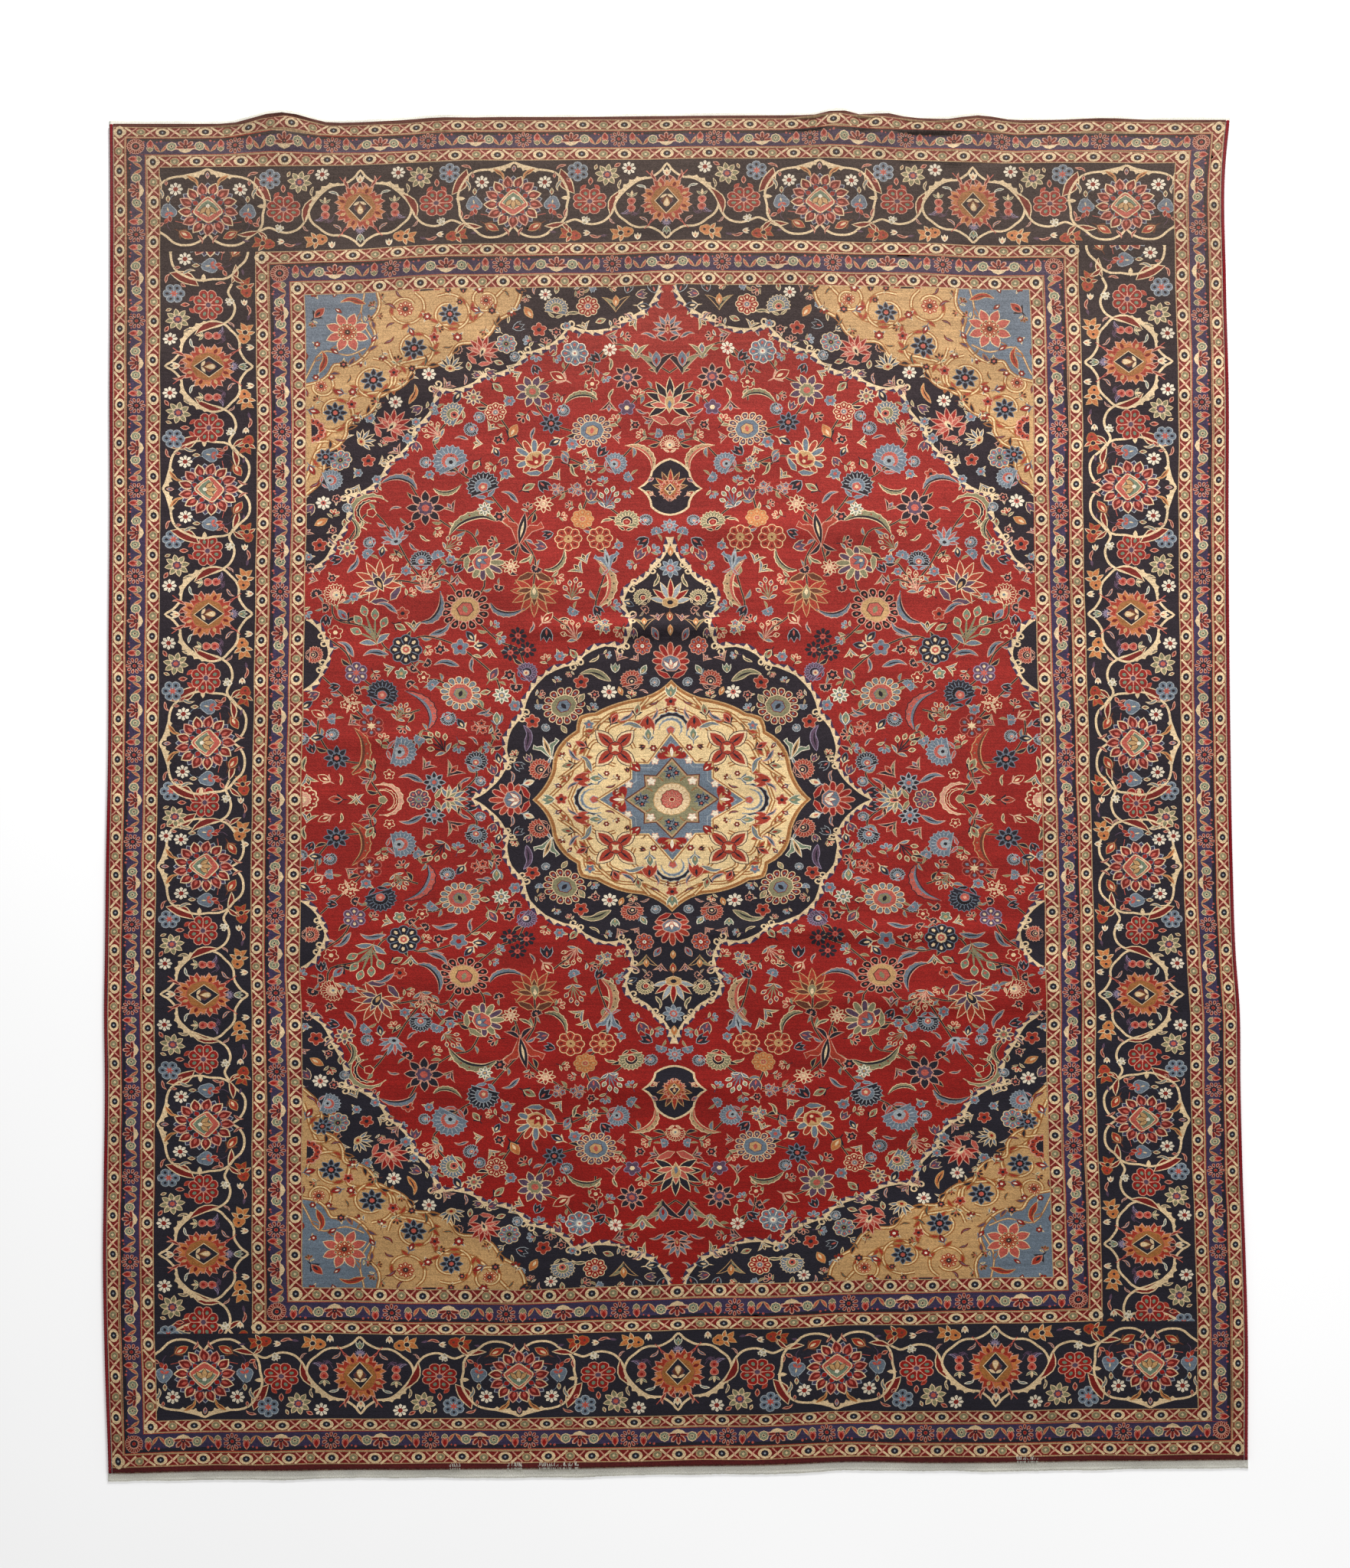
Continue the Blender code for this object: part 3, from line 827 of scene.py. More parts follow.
def wheel(pen, c):
    """The red wheel rosette: eight round petals with light edges, a dark seed in each."""
    pen = pen.scaled(1, 0.86)
    for k in range(8):
        pen.edged(turned(drop(0.90, 0.74) + (0, 0.10), 45 * k + 22.5), "pink", "red", 2.2)
    for k in range(8):
        pen.edged(turned(circle(0.15, 6, 1.25, 0, 0.62), 45 * k + 22.5), "dark_red", "green", 1.8)
        pen.shape(turned(leaf(0.30, 0.05, 0, 2) + (0, 0.12), 45 * k + 22.5), "dark_red")
    pen.edged(circle(0.20, 8), "pink", "purple", 1.6)
    for side in (-1, 1):
        pen.edged(turned(leaf(0.50, 0.26), 140 * side, 0.55 * side, -0.85), "coral", "madder", 1.8)


def bell(pen, c):
    """A three-lobed bell with a red tip over it."""
    pen.line([(0.0, 0.7), (0.35, 1.3), (0.1, 1.9)], 1.8, "purple", 3)
    pen.edged(turned(leaf(0.80, 0.40), -40, 0.1, 0.5), "coral", "madder", 1.6)
    pen.edged(lobes(0.86, 3, 0.26, 5, -90) + (0, -0.15), "sky", "slate", 2.0)
    for side in (-1, 1):
        pen.shape(turned(leaf(0.55, 0.30), 50 * side, 0, -0.05), "coral")
    pen.edged(leaf(0.80, 0.44) + (0, 0.25), "pink", "red", 1.6)
    pen.shape(leaf(0.5, 0.16) + (0, -0.6), "cream")


MOTIFS = {
    "rosette": rosette,
    "six": six_rosette,
    "daisy": daisy,
    "pansy": pansy,
    "star": star_flower,
    "palmette": palmette,
    "lotus": lotus,
    "peony": peony,
    "carnation": carnation,
    "lily": lily,
    "bud": bud,
    "tulip": tulip,
    "crescent": crescent,
    "saz": saz,
    "feather": feather,
    "spray": spray,
    "crown": crown,
    "trio": trio,
    "wings": wings,
    "sprig": sprig,
    "posy": posy,
    "fan": fan,
    "half": half_rosette,
    "star4": star4,
    "half_palm": half_palm,
    "grand_a": grand_a,
    "grand_b": grand_b,
    "cherries": cherries,
    "twin": twin_buds,
    "wheel": wheel,
    "bell": bell,
}
# A row of the motif tables: its kind, its place and half its size in millimetres, how far it
# is turned in degrees, and its palette.
Motif = namedtuple("Motif", "kind x y r turn palette")


def put(pen, rows):
    """Draws a table's motifs."""
    for row in rows:
        motif = Motif(*row)
        MOTIFS[motif.kind](pen.at(motif.x, motif.y, motif.turn, motif.r), PALETTES[motif.palette])


def four_ways(rows):
    """Draws a quarter's motifs in all four quarters, and those on an axis once a side."""
    for row in rows:
        motif = Motif(*row)
        for side_u in (1, -1) if motif.x else (1,):
            for side_v in (1, -1) if motif.y else (1,):
                put(Pen().scaled(side_u, side_v), [row])


def corners():
    """A pen for each quarter."""
    return [Pen().scaled(side_u, side_v) for side_u in (1, -1) for side_v in (1, -1)]


# --- The drawing's bands: widths in millimetres, from the outer face of the selvedges inwards -------
WIDTHS = (10, 33, 56, 35, 252, 35, 59, 38)
EDGE, GUARD_1, GUARD_2, GUARD_3, MAIN, GUARD_4, GUARD_5, GUARD_6 = range(len(WIDTHS))
STARTS = [0, *np.cumsum(WIDTHS)]
HALF_U, HALF_V = HALF_WIDTH / MM, HALF_LENGTH / MM
FIELD_U, FIELD_V = HALF_U - STARTS[-1], HALF_V - STARTS[-1]
UNIT_SQUARE = np.array([(-1, -1), (1, -1), (1, 1), (-1, 1)])
SMALL_GUARD_RIM = 2.8
SMALL_GUARD_REPEAT = 117
FLOWER_GUARD_RIM = 1.8
FLOWER_GUARD_NAVY = 13
END_FLOWER_REPEAT = 290
SIDE_FLOWER_REPEAT = 254
FIELD_UNDERLAP = 3
CORNER_UNDERLAP = 4
EDGE_OVERHANG = 9


def frame_band(start, end, yarn):
    """A plain rectangular ring between two distances from the outer edge."""
    u0, u1, v0, v1 = HALF_U - start, HALF_U - end, HALF_V - start, HALF_V - end
    along_u, along_v = np.linspace(-u0, u0, 24), np.linspace(-v1, v1, 32)
    for side in (-1, 1):
        inner, outer = ([(u, side * v) for u in along_u] for v in (v1, v0))
        Pen().shape(inner + outer[::-1], yarn)
        inner, outer = ([(side * u, v) for v in along_v] for u in (u1, u0))
        Pen().shape(inner + outer[::-1], yarn)


def small_guard_unit(pen, width, gap, sides):
    """One repeat of a narrow guard: a ringed dot, crossed leaves and an eight-sided dot."""
    h = width / 2 - 3
    for side in sides:
        half = pen.scaled(side, 1)
        half.line([(gap * 0.13, h * 1.0), (gap * 0.28, h * 0.10), (gap * 0.43, -h * 0.95)], 5.4, "cream", 3)
        half.line([(gap * 0.30, h * 0.0), (gap * 0.22, -h * 0.60), (gap * 0.17, -h)], 3.4, "pink", 3)
        half.line([(gap * 0.27, h * 0.1), (gap * 0.36, h * 0.55), (gap * 0.41, h)], 3.4, "pink", 3)
    pen.shape(circle(gap * 0.165, 12, h * 0.96 / (gap * 0.165)), "cream")
    pen.shape(circle(gap * 0.092, 8, h * 0.60 / (gap * 0.092)), "navy")
    pen.shape(circle(gap * 0.028, 4), "sky")
    if 1 in sides:
        dot = pen.at(gap / 2)
        dot.shape(circle(gap * 0.115, 8, h * 0.80 / (gap * 0.115), turn=22.5), "tan")
        dot.shape(circle(gap * 0.085, 8, h * 0.58 / (gap * 0.085), turn=22.5), "olive")
        dot.shape(circle(gap * 0.035, 4), "cream")


def small_guard(start, width):
    """A narrow guard stripe all round."""
    frame_band(start, start + width, "tan")
    frame_band(start + SMALL_GUARD_RIM, start + width - SMALL_GUARD_RIM, "dark_red")
    middle = start + width / 2
    half_u, half_v = HALF_U - middle, HALF_V - middle
    for across, half_run, turn in ((half_v, half_u, 0), (half_u, half_v, -90)):
        count = 2 * round(half_run / SMALL_GUARD_REPEAT)
        gap = 2 * half_run / count
        for side in (0, 180):
            for k in range(count + 1):
                sides = (-1,) * (k > 0) + (1,) * (k < count)
                spot = Pen().at(0, 0, turn + side).at((k - count / 2) * gap, across)
                small_guard_unit(spot, width, gap, sides)


def strawberry(pen):
    """A guard flower: a red head on a pale base, with specks beside it."""
    pen.edged(leaf(1.75, 1.05) + (0, -0.55), "pink", "coral", 1.6)
    pen.shape(leaf(0.95, 0.50) + (0, 0.02), "red")
    base = [
        (-0.56, -0.10), (-0.40, -0.66), (0, -0.95), (0.40, -0.66),
        (0.56, -0.10), (0.2, -0.28), (0, 0.0), (-0.2, -0.28),
    ]
    pen.edged(base, "cream", "olive", 1.6)
    for side in (-1, 1):
        pen.shape(circle(0.15, 4, 1, 0.95 * side, 0.80), "coral")


def flower_guard_half(pen, h, gap):
    """Half a repeat of the flower guard, from a rosette to a tulip; inwards is up."""
    reach = gap / 2
    strawberry(pen.at(reach * 0.29, 0, 0, h * 0.78))
    for side in (-1, 1):
        blade = turned(leaf(h * 1.30, h * 0.42, 0.10 * h * side), -34 * side)
        pen.at(reach * 0.50, -h * 0.72).edged(blade, "gold", "coral", 2.2)
    pen.at(reach * 0.50, h * 0.72).shape(circle(h * 0.16, 5), "coral")
    guard_daisy(pen.at(reach * 0.72, 0, 0, h * 0.62))


def guard_daisy(pen):
    """The pale eight-petalled flower of the guards."""
    pen.edged(lobes(1.0, 8, 0.18, 3), "cream", "green", 2.6)
    for k in range(4):
        pen.shape(turned(leaf(1.6, 0.16, 0, 2) + (0, -0.8), 45 * k), "cream")
    pen.edged(circle(0.30, 6), "cream", "navy", 1.4)


def guard_rosette(pen):
    """The ten-petalled dark red rosette of the guards."""
    for k in range(10):
        pen.edged(turned(drop(0.68, 0.46, 4) + (0, 0.34), 36 * k), "pink", "dark_red", 1.8)
    pen.shape(circle(0.44, 10), "navy")
    pen.edged(circle(0.22, 6), "coral", "red", 1.4)


def flower_guard(start, width):
    """A wider guard: rosettes, strawberries, leaf pairs, pale rosettes and tulips in turn."""
    frame_band(start, start + width, "tan")
    rim = FLOWER_GUARD_RIM
    frame_band(start + rim, start + width - rim, "madder")
    frame_band(start + 2 * rim, start + width - 2 * rim, "indigo")
    frame_band(start + 2 * rim, start + FLOWER_GUARD_NAVY, "navy")
    middle, h = start + width / 2, width / 2 - 5
    half_u, half_v = HALF_U - middle, HALF_V - middle
    ends = (half_v, half_u, 0, END_FLOWER_REPEAT)
    sides = (half_u, half_v, -90, SIDE_FLOWER_REPEAT)
    for across, half_run, turn, repeat in (ends, sides):
        count = round(half_run / repeat - 0.25) + 0.5
        gap = half_run / count
        for side in (0, 180):
            edge = Pen().at(0, 0, turn + side).at(0, across)
            for k in range(int(count + 0.5)):
                for mirror in (1, -1):
                    spot = edge.scaled(mirror, 1).at((k + 0.5) * gap, 0)
                    guard_rosette(spot.at(0, 0, 0, h * 1.02))
                    flower_guard_half(spot.scaled(-1, 1), h, gap)
                    if (k + 0.5) * gap + gap / 2 <= half_run + 1:
                        flower_guard_half(spot, h, gap)
                    guard_tulip(edge.scaled(mirror, 1).at(k * gap, 0), h)


def guard_tulip(pen, h):
    """The five-lobed tulip on its pale boat between two rosettes."""
    pen = pen.at(0, 0, 0, h)
    for k in (-2, 2, -1, 1, 0):
        pen.shape(turned(drop(1.25, 0.62, 4), 42 * k, 0, -0.30), "pink")
        pen.shape(turned(drop(1.05, 0.40, 4), 42 * k, 0, -0.24), "dark_red")
    boat = [
        (-1.0, -0.25), (-0.55, -0.72), (0, -0.92), (0.55, -0.72),
        (1.0, -0.25), (0.4, -0.42), (0, -0.36), (-0.4, -0.42),
    ]
    pen.shape(boat, "cream")
    pen.shape(circle(0.26, 7, 1, 0, -0.12), "navy")
    pen.shape(circle(0.10, 4, 1, 0, -0.12), "coral")


# --- The main border ------------------------------------------------------------------------------
# Half of each cartouche's outline, along the border and towards the field, in millimetres.
CARTOUCHE_A = (
    Cusp(0, -120, 0.08), Cusp(75, -98, -0.16), Cusp(138, -55, -0.12), Cusp(145, 15, -0.18),
    Cusp(110, 80, -0.16), Cusp(45, 106, -0.10), Cusp(0, 75, 0.0),
)
CARTOUCHE_B = (
    Cusp(0, 118, -0.08), Cusp(50, 82, 0.14), Cusp(112, 60, 0.14), Cusp(140, 10, 0.06),
    Cusp(105, -46, 0.12), Cusp(45, -70, -0.08), Cusp(0, -112, 0.0),
)
CARTOUCHE_LINE = 6.4
BORDER_A = (
    ("grand_a", 0, 0, 80, 0, "red_cream"),
    ("bud", 0, -100, 12, 180, "slate_red"),
    ("bud", 60, 75, 24, 60, "gold_red"),
    ("bell", 105, 10, 28, 10, "navy_slate"),
    ("bud", 125, 45, 12, -60, "coral_navy"),
    ("bud", 105, -30, 12, 180, "olive_red"),
    ("daisy", 85, -60, 20, 0, "white_rose"),
    ("feather", 125, -50, 18, 30, "slate_cream"),
    ("feather", 40, -85, 22, 55, "orange_navy"),
    ("bud", 110, -80, 9, 0, "coral_navy"),
    ("feather", 20, 90, 14, 40, "coral_navy"),
)
BORDER_B = (
    ("grand_b", 0, 0, 70, 0, "gold_red"),
    ("tulip", 0, 92, 14, 0, "white_green"),
    ("crown", 0, 70, 14, 0, "lilac_cream"),
    ("tulip", 0, -85, 14, 180, "white"),
    ("feather", 35, -75, 18, -150, "coral_navy"),
    ("cherries", 95, 10, 25, 0, "coral_navy"),
    ("feather", 112, 32, 13, -50, "lilac_cream"),
    ("feather", 70, -42, 15, 80, "white_green"),
    ("feather", 62, 60, 15, 60, "slate_red"),
)
BETWEEN_CARTOUCHES = (
    ("wheel", 0, 0, 48, 0, "red_wheel"),
    ("six", -35, -90, 30, 0, "slate_six"),
    ("star", 45, -80, 34, 10, "star_flower"),
    ("daisy", 105, -100, 20, 0, "white_rose"),
    ("trio", -12, 57, 13, 0, "white_green"),
    ("bud", 0, -60, 14, 180, "coral_navy"),
    ("twin", -60, 100, 34, 10, "brown_gold"),
    ("twin", 80, 98, 36, -10, "orange_navy"),
    ("feather", 15, 105, 16, -70, "coral_navy"),
    ("tulip", -8, 96, 11, 90, "white"),
    ("feather", -80, -105, 15, 80, "coral_navy"),
    ("bud", 75, -110, 12, 60, "coral_navy"),
    ("tulip", 130, 110, 12, 180, "white"),
    ("feather", 80, -50, 15, 20, "star_flower"),
    ("bud", 15, -105, 10, 20, "olive_red"),
    ("feather", -65, 35, 14, 20, "coral_navy"),
    ("feather", 60, 60, 12, -30, "slate_red"),
    ("bud", -60, -65, 10, -40, "coral_navy"),
)


def flame(pen, points, width, yarn):
    """A tapering band with little hooks on one side, like a leaf laid along a line."""
    path = smooth(points, 5)
    t = np.linspace(0, 1, len(path))
    swell = np.sin(math.pi * np.clip(t, 0.04, 0.96)) ** 0.6
    hooks = np.where(np.arange(len(path)) % 3 == 0, 1.5, 0.8)
    outer = offset(path, width * swell * hooks * 0.6)
    pen.shape(np.concatenate([outer, offset(path, -width * swell * 0.4)[::-1]]), yarn)


def cartouche_a(pen):
    """The wide cartouche and what is in it."""
    for side in (1, -1):
        half = pen.scaled(side, 1)
        half.at(126, -100, -28).edged(leaf(88, 36, -7), "cream", "dark_red", 3.0)
    pen.line(both_sides(bowed(CARTOUCHE_A, 3)), CARTOUCHE_LINE, "cream", 2, closed=True)
    for side in (1, -1):
        half = pen.scaled(side, 1)
        flame(half, bowed(CARTOUCHE_A[:2], 3), 15, "cream")
        half.at(143, -10, 90).shape(leaf(26, 12) + (0, -13), "cream")
        half.at(128, 64, -40).edged(leaf(44, 14, 4), "cream", "dark_red", 2.6)
        half.line([(30, 64), (54, 44), (88, 36)], 1.8, "coral", 3)
        half.line([(102, -8), (98, -34), (86, -44)], 1.8, "slate", 3)
    for row in BORDER_A:
        for side in (1, -1) if row[1] else (1,):
            put(pen.scaled(side, 1), [row])


def cartouche_b(pen):
    """The narrow cartouche and what is in it."""
    pen.line(both_sides(bowed(CARTOUCHE_B, 3)), CARTOUCHE_LINE, "cream", 2, closed=True)
    for side in (1, -1):
        half = pen.scaled(side, 1)
        flame(half, bowed(CARTOUCHE_B[3:6], 2), 15, "cream")
        half.line([(30, -50), (40, -72), (56, -92)], 2.4, "coral", 3)
        half.line([(28, 56), (44, 70), (60, 88)], 2.4, "coral", 3)
        half.line([(70, 22), (82, 40), (96, 44)], 1.8, "purple", 3)
    for row in BORDER_B:
        for side in (1, -1) if row[1] else (1,):
            put(pen.scaled(side, 1), [row])


def between(pen, to_a):
    """The wheel between two cartouches; to_a is 1 where the wide one lies ahead of it."""
    pen = pen.scaled(-to_a, 1)
    stem = [(-65, 65), (-40, 55), (-15, 65), (10, 70), (40, 60), (60, 35), (70, 5)]
    pen.line(stem, CARTOUCHE_LINE, "cream", 4)
    pen.at(55, 45, 205).edged(leaf(90, 24, 12), "cream", "dark_red", 3.2)
    pen.at(-65, 64, 80).edged(leaf(60, 18, 4), "cream", "dark_red", 3.2)
    put(pen, BETWEEN_CARTOUCHES)


def border_row(edge, places):
    """One edge of the main border, its places in order along it."""
    for index, (kind, run) in enumerate(places):
        spot = edge.at(run, 0)
        if kind == "A":
            cartouche_a(spot)
        elif kind == "B":
            cartouche_b(spot)
        else:
            ahead = places[index + 1][0] if index + 1 < len(places) else "A"
            between(spot, 1 if ahead == "A" else -1)


END_PITCH = 208
NEAR_PITCH = 201
FAR_PITCH = 189
END_CORNER = 1240
NEAR_CORNER, FIRST_NEAR = -1770, -1618
FIRST_FAR, FAR_CORNER = 166, 1712
HALF_END = [*((kind, END_PITCH * k) for k, kind in enumerate("BWAWBW")), ("A", END_CORNER)]
END_PLACES = [(kind, -run) for kind, run in HALF_END[:0:-1]] + HALF_END
SIDE_PLACES = [
    ("A", NEAR_CORNER),
    *((kind, FIRST_NEAR + NEAR_PITCH * k) for k, kind in enumerate("WBWAWBWAW")),
    *((kind, FIRST_FAR + FAR_PITCH * k) for k, kind in enumerate("AWBWAWBW")),
    ("A", FAR_CORNER),
]


def main_border():
    """The navy main border with its cartouches in turn; the ends lie over the sides."""
    start, width = STARTS[MAIN], WIDTHS[MAIN]
    frame_band(start, start + width, "navy")
    middle = start + width / 2
    for side in (1, -1):
        border_row(Pen().scaled(side, 1).at(0, 0, 90).at(0, HALF_U - middle).scaled(1, -1), SIDE_PLACES)
    square = UNIT_SQUARE * width / 2
    for pen in corners():
        pen.at(HALF_U - middle, HALF_V - middle).shape(square, "navy")
    for side in (1, -1):
        border_row(Pen().scaled(1, side).at(0, HALF_V - middle).scaled(1, -1), END_PLACES)


# --- The field --------------------------------------------------------------------------------------
# One quarter's edges, in millimetres, listed from the carpet's side towards its end, and motifs.
EDGE_OF_FIELD = (
    Cusp(982, 670, 0.14), Cusp(905, 760, 0.10), Cusp(870, 900, 0.16), Cusp(760, 1000, 0.12),
    Cusp(690, 1100, 0.12), Cusp(630, 1220, 0.16), Cusp(500, 1260, 0.16), Cusp(390, 1320, 0.12),
    Cusp(270, 1400, 0.14), Cusp(110, 1420, 0.14), Cusp(20, 1517, 0.0),
)
EDGE_OF_GOLD = (
    Cusp(982, 905, 0.16), Cusp(935, 1030, 0.16), Cusp(870, 1130, 0.18), Cusp(780, 1210, 0.18),
    Cusp(690, 1280, 0.18), Cusp(570, 1350, 0.18), Cusp(460, 1420, 0.16), Cusp(395, 1517, 0.0),
)
EDGE_OF_SLATE = (
    Cusp(982, 1240, 0.16), Cusp(905, 1300, 0.16), Cusp(820, 1330, 0.16), Cusp(805, 1430, 0.16),
    Cusp(785, 1517, 0.0),
)
SIDE_LOBE = (Cusp(982, 320, 0.12), Cusp(930, 390, 0.18), Cusp(930, 470, 0.12), Cusp(982, 530, 0.0))
GOLD_LINES = (
    ((982, 950), (935, 1080), (860, 1130), (860, 1200), (760, 1220), (740, 1290), (640, 1320), (630, 1400),
     (530, 1420), (440, 1517)),
)
Scroll = namedtuple("Scroll", "x y size turn way")
SCROLLS = (
    Scroll(930, 1020, 40, 60, 1),
    Scroll(905, 1155, 52, 20, -1),
    Scroll(800, 1250, 54, 90, 1),
    Scroll(690, 1340, 54, 0, -1),
    Scroll(590, 1440, 50, 60, 1),
    Scroll(490, 1480, 32, 90, -1),
    Scroll(710, 1460, 44, 120, 1),
    Scroll(940, 1235, 34, 0, 1),
)
SLATE_LINES = (
    ((982, 1260), (940, 1340), (870, 1330), (820, 1350)),
    ((820, 1517), (830, 1440), (800, 1370)),
)
SPANDREL = (
    ("lotus", 750, 1110, 50, 40, "red_cream"),
    ("lotus", 505, 1330, 46, 20, "red_cream"),
    ("rosette", 890, 1010, 32, 0, "cream_gold"),
    ("rosette", 440, 1350, 30, 0, "cream_gold"),
    ("crown", 825, 1070, 34, 60, "cream_navy"),
    ("crown", 590, 1290, 34, 10, "cream_navy"),
    ("carnation", 915, 950, 34, 70, "sky_pink"),
    ("daisy", 740, 1180, 20, 0, "white"),
    ("daisy", 650, 1260, 20, 0, "white"),
    ("feather", 695, 1200, 30, 30, "orange_navy"),
    ("pansy", 815, 1005, 20, 0, "coral_navy"),
    ("pansy", 350, 1390, 22, 0, "coral_navy"),
    ("carnation", 300, 1455, 34, 10, "slate_cream"),
    ("rosette", 215, 1460, 32, 0, "cream_red"),
    ("wings", 140, 1470, 32, 0, "orange_navy"),
    ("daisy", 935, 880, 22, 0, "white"),
    ("bud", 945, 820, 24, 60, "orange_navy"),
    ("pansy", 945, 750, 22, 0, "coral_navy"),
    ("bud", 375, 1440, 24, -30, "orange_navy"),
    ("daisy", 330, 1495, 18, 0, "white"),
    ("star", 800, 1250, 36, 0, "navy_coral"),
    ("star", 690, 1340, 36, 0, "navy_coral"),
    ("star", 905, 1155, 34, 0, "navy_coral"),
    ("half", 970, 1100, 40, 90, "coral_navy"),
    ("half", 650, 1512, 40, 0, "coral_navy"),
    ("rosette", 940, 1235, 20, 0, "gold_red"),
    ("rosette", 710, 1460, 26, 0, "gold_red"),
    ("star", 590, 1440, 32, 0, "navy_coral"),
    ("pansy", 745, 1270, 16, 0, "coral_navy"),
    ("pansy", 635, 1370, 16, 0, "coral_navy"),
    ("pansy", 860, 1180, 16, 0, "coral_navy"),
    ("rosette", 490, 1480, 20, 20, "gold_red"),
    ("star", 930, 1020, 28, 60, "navy_coral"),
    ("star", 870, 1400, 62, 22, "coral_star"),
    ("rosette", 870, 1400, 26, 0, "gold_red"),
    ("feather", 940, 1310, 34, 20, "gold_red"),
    ("feather", 850, 1490, 34, -70, "gold_red"),
    ("bud", 945, 1460, 24, 45, "coral_navy"),
    ("carnation", 955, 425, 26, 90, "coral_navy"),
)
EDGE_OF_MEDALLION = (
    Cusp(530, 0, 0.10), Cusp(435, 110, -0.14), Cusp(395, 250, -0.18), Cusp(255, 400, -0.16),
    Cusp(130, 445, 0.10), Cusp(105, 530, -0.20), Cusp(105, 625, 0.10), Cusp(45, 680, 0.10),
    Cusp(0, 770, 0.0),
)
EDGE_OF_CREAM = (
    Cusp(365, 0, 0.08), Cusp(315, 90, -0.14), Cusp(250, 200, -0.06), Cusp(240, 240, -0.06),
    Cusp(200, 250, -0.06), Cusp(80, 295, 0.08), Cusp(0, 350, 0.0),
)
BLUE_STAR = (190, 148, 122)
OLIVE_STAR = (116, 98, 78)
MEDALLION = (
    ("palmette", 0, 410, 54, 0, "coral_slate"),
    ("palmette", 430, 0, 56, -90, "coral_slate"),
    ("peony", 285, 275, 60, -40, "olive_peony"),
    ("lily", 330, 150, 38, -20, "white_green"),
    ("carnation", 350, 90, 32, -60, "coral_navy"),
    ("carnation", 105, 350, 32, -10, "coral_navy"),
    ("pansy", 240, 345, 22, 0, "coral_navy"),
    ("feather", 200, 360, 42, -60, "leafy_olive"),
    ("feather", 388, 180, 38, 10, "lilac_cream"),
    ("daisy", 165, 315, 22, 0, "white"),
    ("pansy", 370, 230, 22, 0, "coral_navy"),
    ("bud", 75, 380, 18, 30, "white_green"),
    ("bud", 380, 50, 18, 70, "white"),
    ("tulip", 150, 385, 16, 0, "white_green"),
    ("bud", 135, 320, 16, 160, "orange_navy"),
    ("bud", 240, 295, 18, 30, "leafy_olive"),
    ("bud", 285, 205, 16, -30, "leafy_olive"),
    ("crown", 0, 595, 54, 0, "crown_red"),
    ("star", 0, 675, 30, 0, "sky_pink"),
    ("rosette", 75, 450, 26, 0, "coral_slate"),
    ("bud", 40, 480, 20, -30, "slate_red"),
    ("wings", 70, 512, 26, 0, "orange_navy"),
    ("carnation", 74, 590, 26, -40, "olive_red"),
    ("feather", 40, 640, 20, 30, "leafy_olive"),
    ("bud", 0, 490, 16, 0, "orange_navy"),
    ("bud", 0, 535, 18, 180, "gold_red"),
    ("bud", 0, 725, 18, 0, "orange_navy"),
)
INSIDE_CREAM = (
    ("star4", 150, 150, 66, 45, "red_cream"),
    ("crescent", 0, 210, 50, 0, "navy_slate"),
    ("crescent", 210, 0, 50, -90, "navy_slate"),
    ("tulip", 62, 224, 27, 180, "coral_navy"),
    ("tulip", 240, 58, 27, 90, "coral_navy"),
    ("bud", 60, 190, 21, 0, "white_green"),
    ("bud", 200, 62, 21, -90, "white_green"),
    ("feather", 102, 214, 29, -70, "slate_cream"),
    ("feather", 228, 104, 29, -20, "slate_cream"),
    ("feather", 118, 246, 24, 60, "leafy"),
    ("feather", 258, 130, 24, 150, "leafy"),
    ("bud", 276, 100, 20, -100, "olive_red"),
    ("bud", 90, 262, 20, 10, "olive_red"),
    ("bud", 150, 236, 20, 30, "coral_navy"),
    ("bud", 240, 160, 20, -60, "coral_navy"),
    ("pansy", 0, 290, 18, 0, "coral_navy"),
    ("tulip", 0, 318, 20, 0, "white_green"),
    ("pansy", 292, 0, 18, 0, "coral_navy"),
    ("tulip", 326, 0, 20, -90, "white_green"),
    ("pansy", 218, 218, 16, 0, "slate_cream"),
    ("feather", 44, 252, 20, 30, "leafy"),
    ("feather", 262, 38, 20, -120, "leafy"),
)
HEART = (
    ("half_palm", 0, 125, 32, 0, "red_cream"),
    ("half_palm", 125, 0, 32, -90, "red_cream"),
    ("pansy", 45, 115, 12, 0, "pink_white"),
    ("pansy", 115, 45, 12, 0, "pink_white"),
    ("tulip", 95, 95, 18, -45, "red_leaf"),
    ("sprig", 25, 145, 10, 20, "red_leaf"),
    ("sprig", 145, 25, 10, -60, "red_leaf"),
    ("trio", 0, 80, 22, 0, "navy_coral"),
    ("trio", 80, 0, 22, -90, "navy_coral"),
    ("pansy", 55, 55, 14, 0, "pink_white"),
    ("feather", 60, 30, 10, -50, "dark_leaf"),
    ("feather", 30, 60, 10, -40, "dark_leaf"),
)
STRAPS = (
    ((50, 225), (120, 228), (222, 222), (228, 120), (225, 50)),
    ((0, 322), (70, 270), (150, 255), (205, 205), (255, 150), (270, 70), (330, 0)),
    ((0, 270), (60, 245), (110, 190), (100, 150)),
    ((270, 0), (245, 60), (190, 110), (150, 100)),
    ((60, 300), (110, 240), (170, 205), (150, 150)),
    ((300, 60), (240, 110), (205, 170), (150, 150)),
)


def two_way_star(upright, diagonal, inner, notch=30.0):
    """An eight-pointed star; its upright points are wide and reach further than its diagonal ones."""
    radii = np.tile([upright, inner, diagonal, inner], 4)
    angles = np.radians((np.arange(4)[:, None] * 90 + [0, notch, 45, 90 - notch]).ravel())
    return polar(radii, angles)


